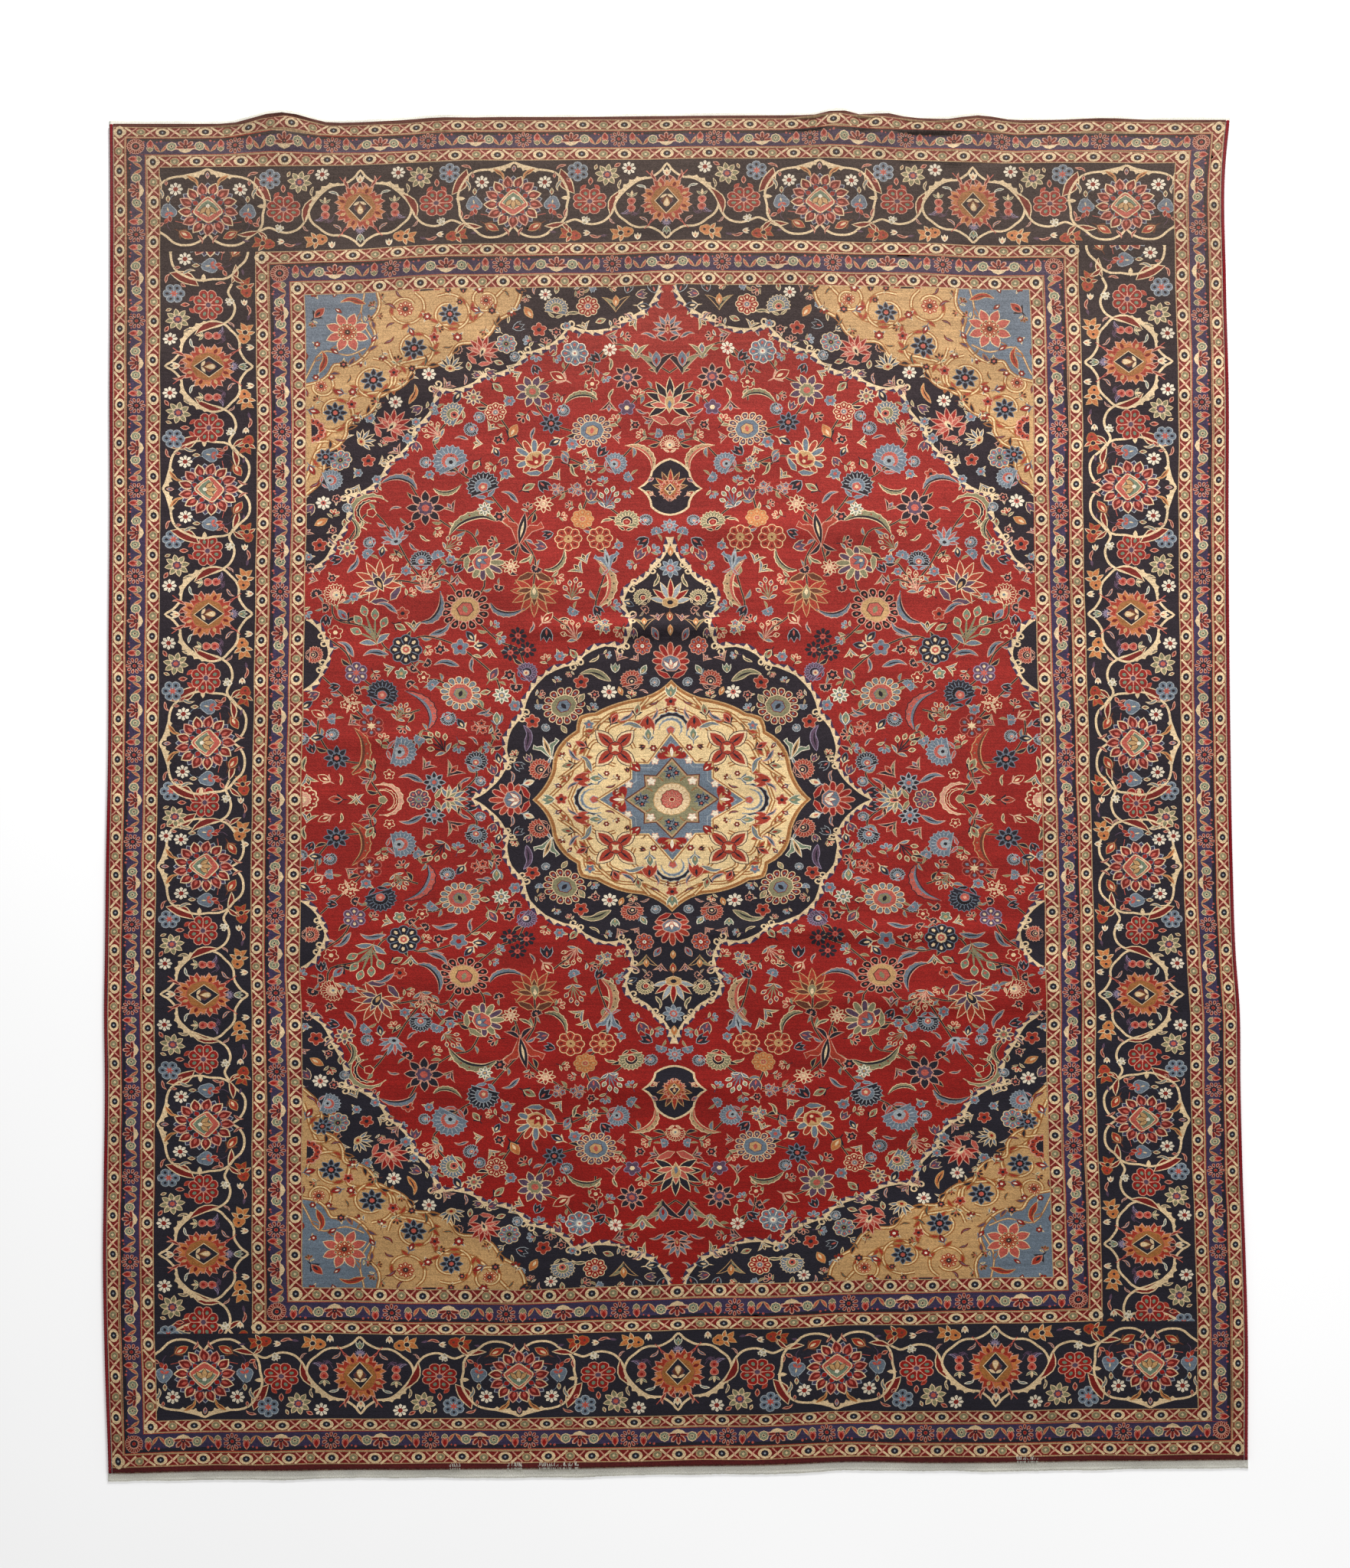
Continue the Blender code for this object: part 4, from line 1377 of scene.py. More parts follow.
def quarter_outline(points):
    """A closed outline from one quarter's points, which run from one axis to the other."""
    p = np.array(points, float)
    up = np.concatenate([p, (p * (-1, 1))[-2::-1]])
    return np.concatenate([up, (up * (1, -1))[-2:0:-1]])


def even_line(points, step):
    """A smooth line with a corner every step, and how far along it each is."""
    path = smooth(points, 8)
    length = np.concatenate([[0], np.cumsum(np.linalg.norm(np.diff(path, axis=0), axis=1))])
    s = np.arange(0, length[-1], step)
    return np.stack([np.interp(s, length, path[:, 0]), np.interp(s, length, path[:, 1])], axis=1), s


THORN_RUN = 62.0
THORN = (0.4, 2.4, 5.0, 8.5, 13.0)
CURL_SIZE = 12.0


def curl(pen, x, y, turn, size, way):
    """A small spiral hook at a cusp, with a bead in it."""
    a = np.radians(np.linspace(0, 330, 10))
    r = np.linspace(1.0, 0.34, 10)
    spiral = np.stack([way * (r * np.cos(a) - 1.0), r * np.sin(a)], axis=1)
    spot = pen.at(x, y, turn, size)
    spot.line(spiral, 4.4, "cream", 2)
    spot.shape(circle(0.24, 5, 1, spiral[-1][0], spiral[-1][1]), "cream")
    spot.shape(turned(leaf(1.0, 0.34), 150, 0, 0.1), "cream")


def scroll_edge(pen, cusps, outer):
    """A light line with flame thorns on its outer side, a dark band beyond and curls at its cusps."""
    line, s = even_line(bowed(cusps), 5.0)
    swell = np.abs(np.sin(math.pi * s / THORN_RUN)) ** 0.7
    thorn = np.array(THORN)[np.arange(len(s)) % len(THORN)] * (0.35 + 0.65 * swell)
    band = [offset(line, outer * 4.0)[::2], offset(line, outer * (5.0 + 9.0 * swell))[::-2]]
    pen.shape(np.concatenate(band), "indigo")
    sides = [offset(line, outer * (1.9 + thorn)), offset(line, -outer * (1.4 + 1.6 * swell))[::-1]]
    pen.shape(np.concatenate(sides), "cream")
    for before, cusp, after in zip(cusps, cusps[1:], cusps[2:]):
        heading = math.degrees(math.atan2(after.y - before.y, after.x - before.x))
        for way in (-1, 1):
            curl(pen, cusp.x, cusp.y, heading + (90 * outer) - 90 + 30 * way, CURL_SIZE, way)


def strap(pen, points, loops, eye, width):
    """A gold-brown line with a light heart and a leaf-shaped loop beside it every so many mm."""
    pen.line(points, width, "gold_brown", 4)
    pen.line(points, width * 0.36, "buff", 4)
    line, s = even_line(points, loops)
    for k in range(1, len(line) - 1):
        along = line[k + 1] - line[k - 1]
        heading = math.degrees(math.atan2(along[1], along[0])) - 90
        side = 1 if k % 2 else -1
        spot = pen.at(line[k][0], line[k][1], heading + 24 * side)
        spot.edged(leaf(34, 14, 3 * side), "gold_brown", eye, 3.0)


def scroll(pen, row):
    """A strap rolled up into a spiral."""
    a = np.radians(np.linspace(0, 390, 14))
    r = row.size * np.linspace(1.25, 0.62, 14)
    spiral = polar(r, a, row.way)
    strap(pen.at(row.x, row.y, row.turn), spiral, loops=58.0, eye="madder", width=11.0)


FIELD = (
    ("half", 980, 0, 44, 90, "cream_red"),
    ("bud", 890, 0, 22, -90, "coral_navy"),
    ("crescent", 760, 0, 52, 90, "cream_fan"),
    ("rosette", 670, 0, 32, 0, "cream_olive"),
    ("star", 630, 50, 32, 0, "navy_slate"),
    ("lotus", 585, 0, 44, 90, "cream_gold"),
    ("feather", 690, 60, 34, -60, "leafy"),
    ("pansy", 750, 75, 16, 0, "cream_red"),
    ("bud", 920, 60, 22, -60, "cream_red"),
    ("star", 890, 120, 36, 0, "navy_coral"),
    ("saz", 840, 140, 64, 20, "tan_olive"),
    ("bud", 800, 100, 22, -30, "olive_red"),
    ("carnation", 720, 140, 44, 100, "sky_pink"),
    ("spray", 620, 160, 38, -40, "olive_red"),
    ("carnation", 520, 110, 32, 20, "navy_slate"),
    ("wings", 580, 85, 28, 40, "coral_navy"),
    ("six", 800, 215, 36, 0, "maroon"),
    ("saz", 670, 265, 62, -10, "coral_leaf"),
    ("spray", 720, 255, 30, 30, "cream_olive"),
    ("carnation", 770, 310, 44, 20, "navy_coral"),
    ("trio", 855, 280, 28, 0, "cream_red"),
    ("peony", 560, 310, 56, 20, "cream_gold"),
    ("trio", 510, 210, 24, 0, "coral_navy"),
    ("bud", 465, 235, 22, 0, "white_green"),
    ("star", 450, 305, 26, 0, "white_green"),
    ("six", 840, 370, 32, 0, "lilac_cream"),
    ("pansy", 660, 360, 18, 0, "cream_red"),
    ("pansy", 720, 370, 18, 0, "white_green"),
    ("bud", 475, 365, 24, 30, "cream_olive"),
    ("carnation", 385, 375, 30, 50, "lilac_cream"),
    ("rosette", 710, 440, 45, 0, "navy_dots"),
    ("pansy", 565, 445, 26, 0, "slate_red"),
    ("daisy", 430, 430, 25, 0, "navy_daisy"),
    ("daisy", 385, 440, 25, 0, "navy_daisy"),
    ("daisy", 410, 478, 25, 0, "navy_daisy"),
    ("spray", 805, 500, 60, -20, "green_spray"),
    ("bud", 880, 540, 24, -40, "slate_red"),
    ("peony", 550, 555, 68, -20, "gold_palm"),
    ("carnation", 900, 600, 34, -70, "cream_red"),
    ("lotus", 785, 635, 66, -30, "cream_blue"),
    ("spray", 655, 635, 38, 20, "cream_red"),
    ("lotus", 365, 600, 64, 180, "tan_olive"),
    ("palmette", 500, 690, 56, 120, "cream_olive"),
    ("carnation", 670, 700, 32, 0, "navy_slate"),
    ("crown", 745, 770, 38, -20, "sky_pink"),
    ("saz", 535, 805, 64, -90, "olive_red"),
    ("star", 500, 855, 22, 0, "white_green"),
    ("lily", 400, 790, 58, 10, "coral_navy"),
    ("star", 660, 860, 54, 0, "navy_star"),
    ("crescent", 810, 850, 58, -50, "olive_red"),
    ("carnation", 505, 925, 45, -20, "navy_slate"),
    ("carnation", 595, 1000, 50, -30, "sky_pink"),
    ("pansy", 705, 960, 18, 0, "coral_navy"),
    ("palmette", 370, 1010, 56, -30, "orange_palm"),
    ("rosette", 470, 1145, 30, 0, "cream_red"),
    ("star", 530, 1190, 26, 0, "cream_olive"),
    ("carnation", 585, 1140, 38, -60, "slate_cream"),
    ("star", 370, 1205, 50, 20, "cream_olive"),
    ("saz", 185, 630, 64, 15, "tan_coral"),
    ("lily", 170, 700, 36, -10, "sky_pink"),
    ("spray", 265, 490, 34, -30, "cream_red"),
    ("trio", 180, 500, 24, 0, "cream_gold"),
    ("spray", 260, 610, 34, 10, "cream_olive"),
    ("rosette", 275, 765, 38, 0, "gold_rosette"),
    ("rosette", 190, 765, 36, 0, "gold_rosette"),
    ("rosette", 235, 825, 32, 0, "orange_disc"),
    ("carnation", 115, 815, 36, 10, "olive_red"),
    ("spray", 165, 885, 35, 20, "white_green"),
    ("trio", 255, 915, 22, 0, "slate_red"),
    ("trio", 305, 915, 20, 60, "slate_red"),
    ("star", 0, 800, 24, 0, "sky_pink"),
    ("carnation", 0, 1045, 28, 0, "cream_red"),
    ("saz", 80, 1010, 48, -25, "tan_coral"),
    ("carnation", 150, 990, 34, 60, "sky_pink"),
    ("trio", 220, 985, 24, 0, "cream_gold"),
    ("bud", 285, 1005, 20, -30, "slate_red"),
    ("peony", 210, 1090, 56, 10, "cream_slate"),
    ("lotus", 0, 1170, 70, 0, "red_lotus"),
    ("saz", 240, 1180, 44, -80, "olive_red"),
    ("pansy", 115, 1155, 24, 0, "lilac_cream"),
    ("pansy", 210, 1230, 20, 0, "cream_red"),
    ("star", 115, 1245, 42, 0, "navy_star"),
    ("rosette", 255, 1320, 38, 0, "sky_rosette"),
    ("daisy", 160, 1330, 20, 0, "white"),
    ("wings", 90, 1325, 30, 0, "cream_gold"),
    ("wings", 35, 1290, 44, 0, "slate_red"),
    ("lotus", 0, 1390, 42, 0, "slate_red"),
    ("star", 320, 1110, 32, 0, "navy_coral"),
    ("bud", 300, 1250, 28, -60, "cream_red"),
    ("bud", 425, 1085, 26, 30, "orange_navy"),
    ("spray", 640, 1090, 34, -50, "cream_red"),
    ("saz", 730, 930, 48, -60, "leafy"),
    ("star", 870, 740, 30, 0, "cream_olive"),
    ("feather", 855, 690, 30, 40, "leafy"),
    ("feather", 620, 500, 34, 70, "leafy"),
    ("pansy", 720, 545, 20, 0, "coral_navy"),
    ("star", 430, 680, 24, 0, "cream_red"),
    ("spray", 590, 750, 30, 50, "cream_olive"),
    ("star", 340, 870, 28, 0, "cream_red"),
    ("feather", 430, 890, 28, -40, "leafy"),
    ("bud", 330, 530, 24, 40, "cream_red"),
    ("feather", 870, 440, 32, -30, "leafy"),
    ("pansy", 900, 490, 22, 0, "cream_red"),
    ("bud", 940, 250, 24, -60, "cream_red"),
    ("saz", 640, 560, 50, 50, "leafy"),
    ("feather", 760, 560, 30, -50, "leafy"),
    ("saz", 440, 560, 44, 120, "leafy"),
    ("saz", 860, 800, 36, 10, "leafy_olive"),
    ("feather", 600, 395, 34, -70, "leafy"),
    ("feather", 790, 425, 34, -80, "leafy"),
    ("saz", 310, 700, 40, 60, "leafy_olive"),
    ("saz", 600, 920, 36, 100, "leafy_olive"),
)
VINES = (
    ((0, 1040), (75, 1060), (150, 990), (220, 985), (285, 1010), (370, 1010), (430, 1080),
     (470, 1145), (530, 1190)),
    ((115, 815), (165, 860), (255, 915), (340, 870), (400, 790), (365, 700), (365, 600),
     (320, 540), (265, 490)),
    ((400, 790), (450, 850), (505, 925), (560, 960), (595, 1000), (640, 1060), (585, 1140)),
    ((500, 690), (535, 780), (590, 800), (660, 860), (705, 940), (720, 960)),
    ((550, 555), (600, 640), (655, 635), (700, 690), (745, 770), (810, 850), (880, 740)),
    ((785, 635), (830, 590), (900, 600), (900, 530), (805, 500), (760, 440), (710, 440)),
    ((560, 310), (620, 350), (660, 360), (710, 440), (660, 480), (565, 445), (475, 365), (450, 305)),
    ((670, 265), (720, 255), (770, 310), (840, 370), (870, 430), (930, 480)),
    ((620, 160), (660, 200), (720, 140), (800, 215), (855, 280), (930, 360)),
    ((585, 0), (520, 60), (520, 110), (480, 160), (465, 235), (510, 270), (560, 310)),
    ((760, 0), (800, 60), (800, 100), (890, 120), (940, 190), (940, 250)),
    ((180, 500), (200, 560), (185, 630), (170, 700), (190, 765), (235, 825), (220, 900)),
    ((0, 1170), (60, 1210), (115, 1155), (210, 1090), (320, 1110), (370, 1205), (300, 1250), (255, 1320)),
    ((0, 1255), (60, 1300), (90, 1325), (150, 1345), (200, 1300), (210, 1230), (210, 1175)),
    ((385, 375), (410, 440), (465, 465), (550, 555)),
    ((550, 555), (500, 620), (500, 690), (430, 680), (400, 790)),
    ((785, 635), (720, 640), (655, 635), (600, 700), (500, 690)),
)
LEAF_YARNS = ("slate", "olive", "navy", "green")
RIM_YARNS = ("cream", "pink", "tan")
FILL_SEED = 7
# No filler stands in the small cartouche beyond the medallion or in the side lobe.
KEPT_CLEAR = (Motif("", 0, 918, 100, 0, ""), Motif("", 970, 425, 105, 0, ""))
FILLERS = (
    ("bud", "navy_dots"), ("posy", "navy_eye"), ("carnation", "navy_slate"), ("fan", "slate_eye"),
    ("tulip", "navy_slate"), ("sprig", "slate_eye"), ("wings", "cream_navy"), ("feather", "leafy"),
    ("sprig", "navy_eye"), ("posy", "slate_eye"), ("bud", "olive_red"), ("fan", "navy_eye"),
    ("sprig", "cream_leaf"), ("feather", "leafy_olive"), ("tulip", "cream_olive"), ("wings", "slate_red"),
)
LIGHT_FILLERS = (
    ("sprig", "dark_leaf"), ("posy", "dark_leaf"), ("feather", "dark_leaf"), ("bud", "red_leaf"),
    ("sprig", "red_leaf"), ("feather", "red_leaf"), ("posy", "red_leaf"), ("tulip", "dark_leaf"),
)


def vine(pen, points, rng):
    """A dark stem with a light edge through the points, with leaves to both sides of it."""
    pen.line(points, 5.6, "tan", 4)
    pen.line(points, 3.8, "navy", 4)
    path = smooth(points, 6)
    for k in range(2, len(path) - 2, 3):
        along = path[k + 1] - path[k - 1]
        heading = math.degrees(math.atan2(along[1], along[0])) - 90
        side = 1 if (k // 3) % 2 else -1
        rim, body = RIM_YARNS[int(rng.integers(3))], LEAF_YARNS[int(rng.integers(4))]
        length = rng.uniform(24, 38)
        blade = leaf(length, length * 0.36, -0.14 * length * side)
        spot = pen.at(path[k][0], path[k][1], heading + rng.uniform(24, 46) * side)
        spot.edged(blade, rim, body, 2.0)


def inside(points, polygon):
    """Which points lie in the polygon, counting its windings."""
    x, y = points[:, 0][:, None], points[:, 1][:, None]
    x0, y0 = polygon[:, 0], polygon[:, 1]
    x1, y1 = np.roll(x0, -1), np.roll(y0, -1)
    left = (x1 - x0) * (y - y0) - (x - x0) * (y1 - y0)
    up, down = (y0 <= y) & (y1 > y) & (left > 0), (y0 > y) & (y1 <= y) & (left < 0)
    return up.sum(1) != down.sum(1)


def fill_in(region, holes, taken, gap, size, rng, fillers=FILLERS):
    """Scatters little sprigs over what is left of a region of one quarter."""
    low, high = region.min(0), region.max(0)
    tries = rng.uniform(low, high, (int((high - low).prod() / gap**2 * 12), 2))
    free = inside(tries, region) & (tries[:, 0] > size)
    for hole in holes:
        free &= ~inside(tries, hole)
    spots = np.array([(row[1], row[2], row[3] * 0.85 + size) for row in taken], float)
    for x, y in tries[free]:
        if ((x - spots[:, 0]) ** 2 + (y - spots[:, 1]) ** 2 > spots[:, 2] ** 2).all():
            kind, palette = fillers[int(rng.integers(len(fillers)))]
            spots = np.append(spots, [(x, y, gap)], axis=0)
            four_ways([(kind, x, y, size * rng.uniform(0.85, 1.2), rng.uniform(0, 360), palette)])


def medallion():
    """The centre medallion, its pendants and their caps."""
    rng = np.random.default_rng(FILL_SEED)
    Pen().shape(quarter_outline(bowed(EDGE_OF_MEDALLION)), "navy")
    for pen in corners():
        scroll_edge(pen, EDGE_OF_MEDALLION, -1)
    navy_quarter = np.concatenate([bowed(EDGE_OF_MEDALLION) * 0.95, [(0, 0)]])
    cream_edge = quarter_outline(bowed(EDGE_OF_CREAM))
    fill_in(navy_quarter, [cream_edge * 1.05], MEDALLION, gap=32, size=15, rng=rng)
    four_ways(MEDALLION)
    Pen().shape(cream_edge * 1.012, "gold")
    Pen().shape(cream_edge, "gold_brown")
    Pen().shape(cream_edge * 0.976, "buff")
    cream_quarter = np.concatenate([bowed(EDGE_OF_CREAM) * 0.95, [(0, 0)]])
    blue = two_way_star(*BLUE_STAR)
    for pen in corners():
        for line in STRAPS:
            strap(pen, line, loops=80.0, eye="madder", width=12.0)
    light = {"rng": rng, "fillers": LIGHT_FILLERS}
    fill_in(cream_quarter, [blue * 1.08], INSIDE_CREAM, gap=27, size=12, **light)
    four_ways(INSIDE_CREAM)
    Pen().shape(blue * 1.06, "gold_brown")
    Pen().shape(blue * 1.03, "buff")
    Pen().shape(blue, "slate")
    Pen().line(blue * 0.90, 2.2, "sky", 1, closed=True)
    olive = two_way_star(*OLIVE_STAR)
    Pen().shape(olive * 1.08, "brown")
    Pen().shape(olive * 1.03, "tan")
    Pen().shape(olive * 0.97, "olive")
    four_ways(HEART)
    Pen().edged(lobes(50, 16, 0.06, 3), "gold", "cream")
    for k in range(24):
        Pen().shape(turned(leaf(15, 2.2, 0, 2) + (0, 33), 15 * k), "gold")
    Pen().at(0, 0, 0, 31).edged(lobes(1.0, 12, 0.16, 3), "brown", "coral", 2.0)
    for k in range(12):
        Pen().edged(turned(leaf(17, 5.5) + (0, 9), 30 * k), "pink", "red", 1.4)
    Pen().edged(circle(8, 8), "cream", "red", 2.0)


PENDANT = (
    Cusp(0, 836, -0.10), Cusp(50, 860, 0.14), Cusp(84, 915, 0.14), Cusp(50, 965, -0.10),
    Cusp(0, 1002, 0.0),
)


def pendants():
    """The small cartouche beyond each end of the medallion."""
    for side in (1, -1):
        pen = Pen().scaled(1, side)
        outline = both_sides(bowed(PENDANT, 4))
        pen.shape(outline, "navy")
        pen.line(outline, 6.0, "cream", 1, closed=True)
        put(pen, [
            ("crown", 0, 930, 46, 0, "gold_red"),
            ("grand_b", 0, 912, 32, 0, "gold_red"),
            ("bud", 54, 900, 13, -60, "cream_red"),
            ("bud", -54, 900, 13, 60, "cream_red"),
            ("bud", 52, 940, 12, -120, "slate_red"),
            ("bud", -52, 940, 12, 120, "slate_red"),
        ])


def field():
    """The red field, its corners and its medallion."""
    rng = np.random.default_rng(FILL_SEED)
    corner = [(FIELD_U + CORNER_UNDERLAP, FIELD_V + CORNER_UNDERLAP)]
    edge = np.minimum(bowed(EDGE_OF_FIELD), corner[0])
    Pen().shape(UNIT_SQUARE * (FIELD_U + FIELD_UNDERLAP, FIELD_V + FIELD_UNDERLAP), "red")
    for points in VINES:
        for pen in corners():
            vine(pen, points, np.random.default_rng(FILL_SEED))
    red_region = np.concatenate([edge, [(0, FIELD_V), (0, 0), (FIELD_U, 0)]])
    medallion_edge = quarter_outline(bowed(EDGE_OF_MEDALLION)) * 1.05
    fill_in(red_region, [medallion_edge], [*FIELD, *KEPT_CLEAR], gap=35, size=19, rng=rng)
    four_ways(FIELD)
    navy_region = np.concatenate([edge, corner])
    gold_region = np.concatenate([bowed(EDGE_OF_GOLD), corner])
    slate_region = np.concatenate([bowed(EDGE_OF_SLATE), corner])
    for pen in corners():
        pen.shape(bowed(SIDE_LOBE), "navy")
        scroll_edge(pen, SIDE_LOBE, 1)
        pen.shape(navy_region, "navy")
        scroll_edge(pen, EDGE_OF_FIELD, 1)
    fill_in(navy_region, [gold_region], SPANDREL, gap=34, size=17, rng=rng)
    light = {"rng": rng, "fillers": LIGHT_FILLERS}
    for pen in corners():
        pen.shape(gold_region, "gold")
        for line in GOLD_LINES:
            strap(pen, line, loops=64.0, eye="madder", width=13.0)
        for row in SCROLLS:
            scroll(pen, row)
        strap(pen, bowed(EDGE_OF_GOLD, 3), loops=80.0, eye="navy", width=12.0)
    fill_in(gold_region, [slate_region], SPANDREL, gap=38, size=16, **light)
    for pen in corners():
        pen.shape(slate_region, "slate")
        for line in SLATE_LINES:
            strap(pen, line, loops=56.0, eye="slate", width=5.6)
        strap(pen, bowed(EDGE_OF_SLATE, 3), loops=70.0, eye="purple", width=11.0)
    fill_in(slate_region, [], SPANDREL, gap=40, size=14, **light)
    four_ways(SPANDREL)
    medallion()
    pendants()


def draw_carpet():
    """The whole drawing, from the field outwards."""
    field()
    main_border()
    frame_band(-EDGE_OVERHANG, WIDTHS[EDGE], "wine")
    for band in (GUARD_1, GUARD_2, GUARD_3, GUARD_4, GUARD_5, GUARD_6):
        guard = flower_guard if band in (GUARD_2, GUARD_5) else small_guard
        guard(STARTS[band], WIDTHS[band])


# --- From the drawing to meshes -------------------------------------------------------------------
PILE_HALF_U = HALF_U - SELVEDGE_WIDTH / MM - GAP / MM
PILE_HALF_V = HALF_V - GAP / MM
STRIPS = 12
GRID = 40.0
WELD = 0.03
SNAP = 0.05
STRAIGHT = 0.30
MAP_CELLS = 3
MAP_GAP = 0.006
WALL_ROW_TOP, WALL_ROW_FOOT = 0.997, 0.990
WALL_FILL = 0.9
UNDERLAP = 0.001


def edge_keys(tri, count):
    """Every triangle's three edges as one number each, the lower corner first."""
    edges = np.sort(np.concatenate([tri[:, [0, 1]], tri[:, [1, 2]], tri[:, [2, 0]]]), axis=1)
    return edges[:, 0] * count + edges[:, 1]


def colour_lines(tri, yarn, count, on_seam):
    """The edges that part two yarns, or lie on a seam or the strip's own border."""
    keys = edge_keys(tri, count)
    side_yarn = np.tile(yarn, 3)
    order = np.argsort(keys, kind="stable")
    keys, side_yarn = keys[order], side_yarn[order]
    first = np.append(True, keys[1:] != keys[:-1])
    twin = np.append(~first[1:], False)
    single = first & ~twin
    differs = first & twin & (side_yarn != np.append(side_yarn[1:], -1))
    a, b = keys // count, keys % count
    keep = single | differs | (first & on_seam[a] & on_seam[b])
    return np.stack([a[keep], b[keep]], axis=1)


def straightened(co, edges, fixed):
    """Edges with the corners left out that only lie along a straight run of one line."""
    degree = np.bincount(edges.ravel(), minlength=len(co))
    order = np.argsort(edges.ravel(), kind="stable")
    starts = np.concatenate([[0], np.cumsum(degree)])
    edge_of = order // 2
    edges = edges.copy()
    alive = np.ones(len(edges), bool)
    touching = {}
    for point in np.nonzero((degree == 2) & ~fixed)[0]:
        touching[point] = [edge_of[starts[point]], edge_of[starts[point] + 1]]
    for point, (one, two) in touching.items():
        far = [edges[e][0] if edges[e][1] == point else edges[e][1] for e in (one, two)]
        if one == two or far[0] == far[1]:
            continue
        ahead, behind = co[far[0]] - co[point], co[point] - co[far[1]]
        area = abs(ahead[0] * behind[1] - ahead[1] * behind[0])
        reach = math.hypot(*(co[far[0]] - co[far[1]]))
        if area < STRAIGHT * reach and ahead @ behind > 0:
            edges[one] = far
            alive[two] = False
            if far[1] in touching:
                touching[far[1]] = [one if e == two else e for e in touching[far[1]]]
    return edges[alive]


def cut(points, edges, low, high):
    """Triangles over the strip with the given points and edges as corners and sides."""
    rows = np.linspace(low, high, max(2, round((high - low) / GRID)) + 1)
    columns = np.linspace(-PILE_HALF_U, PILE_HALF_U, round(2 * PILE_HALF_U / GRID) + 1)
    grid = np.stack(np.meshgrid(columns, rows), axis=-1).reshape(-1, 2)
    vectors = [Vector(p) for p in np.concatenate([points, grid]).tolist()]
    corners_out, _, faces, _, _, _ = delaunay_2d_cdt(vectors, edges.tolist(), [], 0, WELD, False)
    co = np.array([tuple(c) for c in corners_out])
    tri = np.array([f for f in faces if len(f) == 3])
    middle = co[tri].mean(1)
    keep = (np.abs(middle[:, 0]) < PILE_HALF_U) & (middle[:, 1] > low) & (middle[:, 1] < high)
    used, tri = np.unique(tri[keep], return_inverse=True)
    return co[used], tri.reshape(-1, 3)


def strip_triangles(low, high):
    """One strip of the drawing cut into triangles: corners, triangles and each one's yarn."""
    seams = np.linspace(-PILE_HALF_U, PILE_HALF_U, MAP_CELLS + 1)
    points = [np.array([(u, v) for u in seams for v in (low, high)])]
    edges = [np.array([(2 * k, 2 * k + 1) for k in range(MAP_CELLS + 1)])]
    edges.append(np.array([(2 * k + s, 2 * k + 2 + s) for k in range(MAP_CELLS) for s in (0, 1)]))
    shapes = [s for s in Pen.drawing if s[2][1] < high and s[3][1] > low]
    first = 2 * (MAP_CELLS + 1)
    for outline, _, _, _ in shapes:
        k = np.arange(len(outline))
        points.append(outline)
        edges.append(np.stack([first + k, first + (k + 1) % len(outline)], axis=1))
        first += len(outline)
    co, tri = cut(np.concatenate(points), np.concatenate(edges), low, high)
    middle = co[tri].mean(1)
    order = np.argsort(middle[:, 0])
    tri, middle = tri[order], middle[order]
    yarn = np.full(len(tri), -1)
    names = list(YARNS)
    for outline, name, (u0, v0), (u1, v1) in reversed(shapes):
        start, end = np.searchsorted(middle[:, 0], (u0, u1))
        spot = middle[start:end, 1]
        near = np.nonzero((yarn[start:end] < 0) & (spot > v0) & (spot < v1))[0] + start
        if len(near):
            yarn[near[inside(middle[near], outline)]] = names.index(name)
    yarn = np.maximum(yarn, 0)
    on_seam = np.abs(co[:, 0][:, None] - seams).min(1) < SNAP
    on_rim = np.minimum(np.abs(co[:, 1] - low), np.abs(co[:, 1] - high)) < SNAP
    lines = colour_lines(tri, yarn, len(co), on_seam)
    lines = straightened(co, lines, on_seam | on_rim)
    tree = BVHTree.FromPolygons([(x, y, 0.0) for x, y in co.tolist()], tri.tolist())
    used, lines = np.unique(lines, return_inverse=True)
    co, tri = cut(co[used], lines.reshape(-1, 2), low, high)
    middle = co[tri].mean(1)
    found = [tree.find_nearest((x, y, 0.0))[2] for x, y in middle.tolist()]
    return co, tri, yarn[np.array(found)]


def border_of(tri):
    """The outer edges of a sheet of triangles, each once and in its triangle's direction."""
    edges = np.concatenate([tri[:, [0, 1]], tri[:, [1, 2]], tri[:, [2, 0]]])
    _, index, count = np.unique(edge_keys(tri, tri.max() + 1), return_index=True, return_counts=True)
    return edges[index[count == 1]]


def make_mesh(name, co, face_groups, material):
    """A smooth mesh object from corners and arrays of faces, riding on the carpet's one body."""
    mesh = bpy.data.meshes.new(name)
    corners_of_faces = np.concatenate([np.asarray(f).ravel() for f in face_groups])
    sizes = np.concatenate([np.full(len(f), np.asarray(f).shape[1]) for f in face_groups])
    mesh.vertices.add(len(co))
    mesh.vertices.foreach_set("co", np.asarray(co, np.float32).ravel())
    mesh.loops.add(len(corners_of_faces))
    mesh.loops.foreach_set("vertex_index", corners_of_faces.astype(np.int32))
    mesh.polygons.add(len(sizes))
    mesh.polygons.foreach_set("loop_start", (np.cumsum(sizes) - sizes).astype(np.int32))
    mesh.update(calc_edges=True)
    mesh.polygons.foreach_set("use_smooth", np.ones(len(sizes), bool))
    mesh.materials.append(material)
    obj = bpy.data.objects.new(name, mesh)
    bpy.context.scene.collection.objects.link(obj)
    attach(obj, "root")
    return obj


def add_uv(obj, name, uv):
    """Gives a mesh a UV map from one pair of numbers for each face corner."""
    layer = obj.data.uv_layers.new(name=name)
    layer.data.foreach_set("uv", np.asarray(uv, np.float32).ravel())


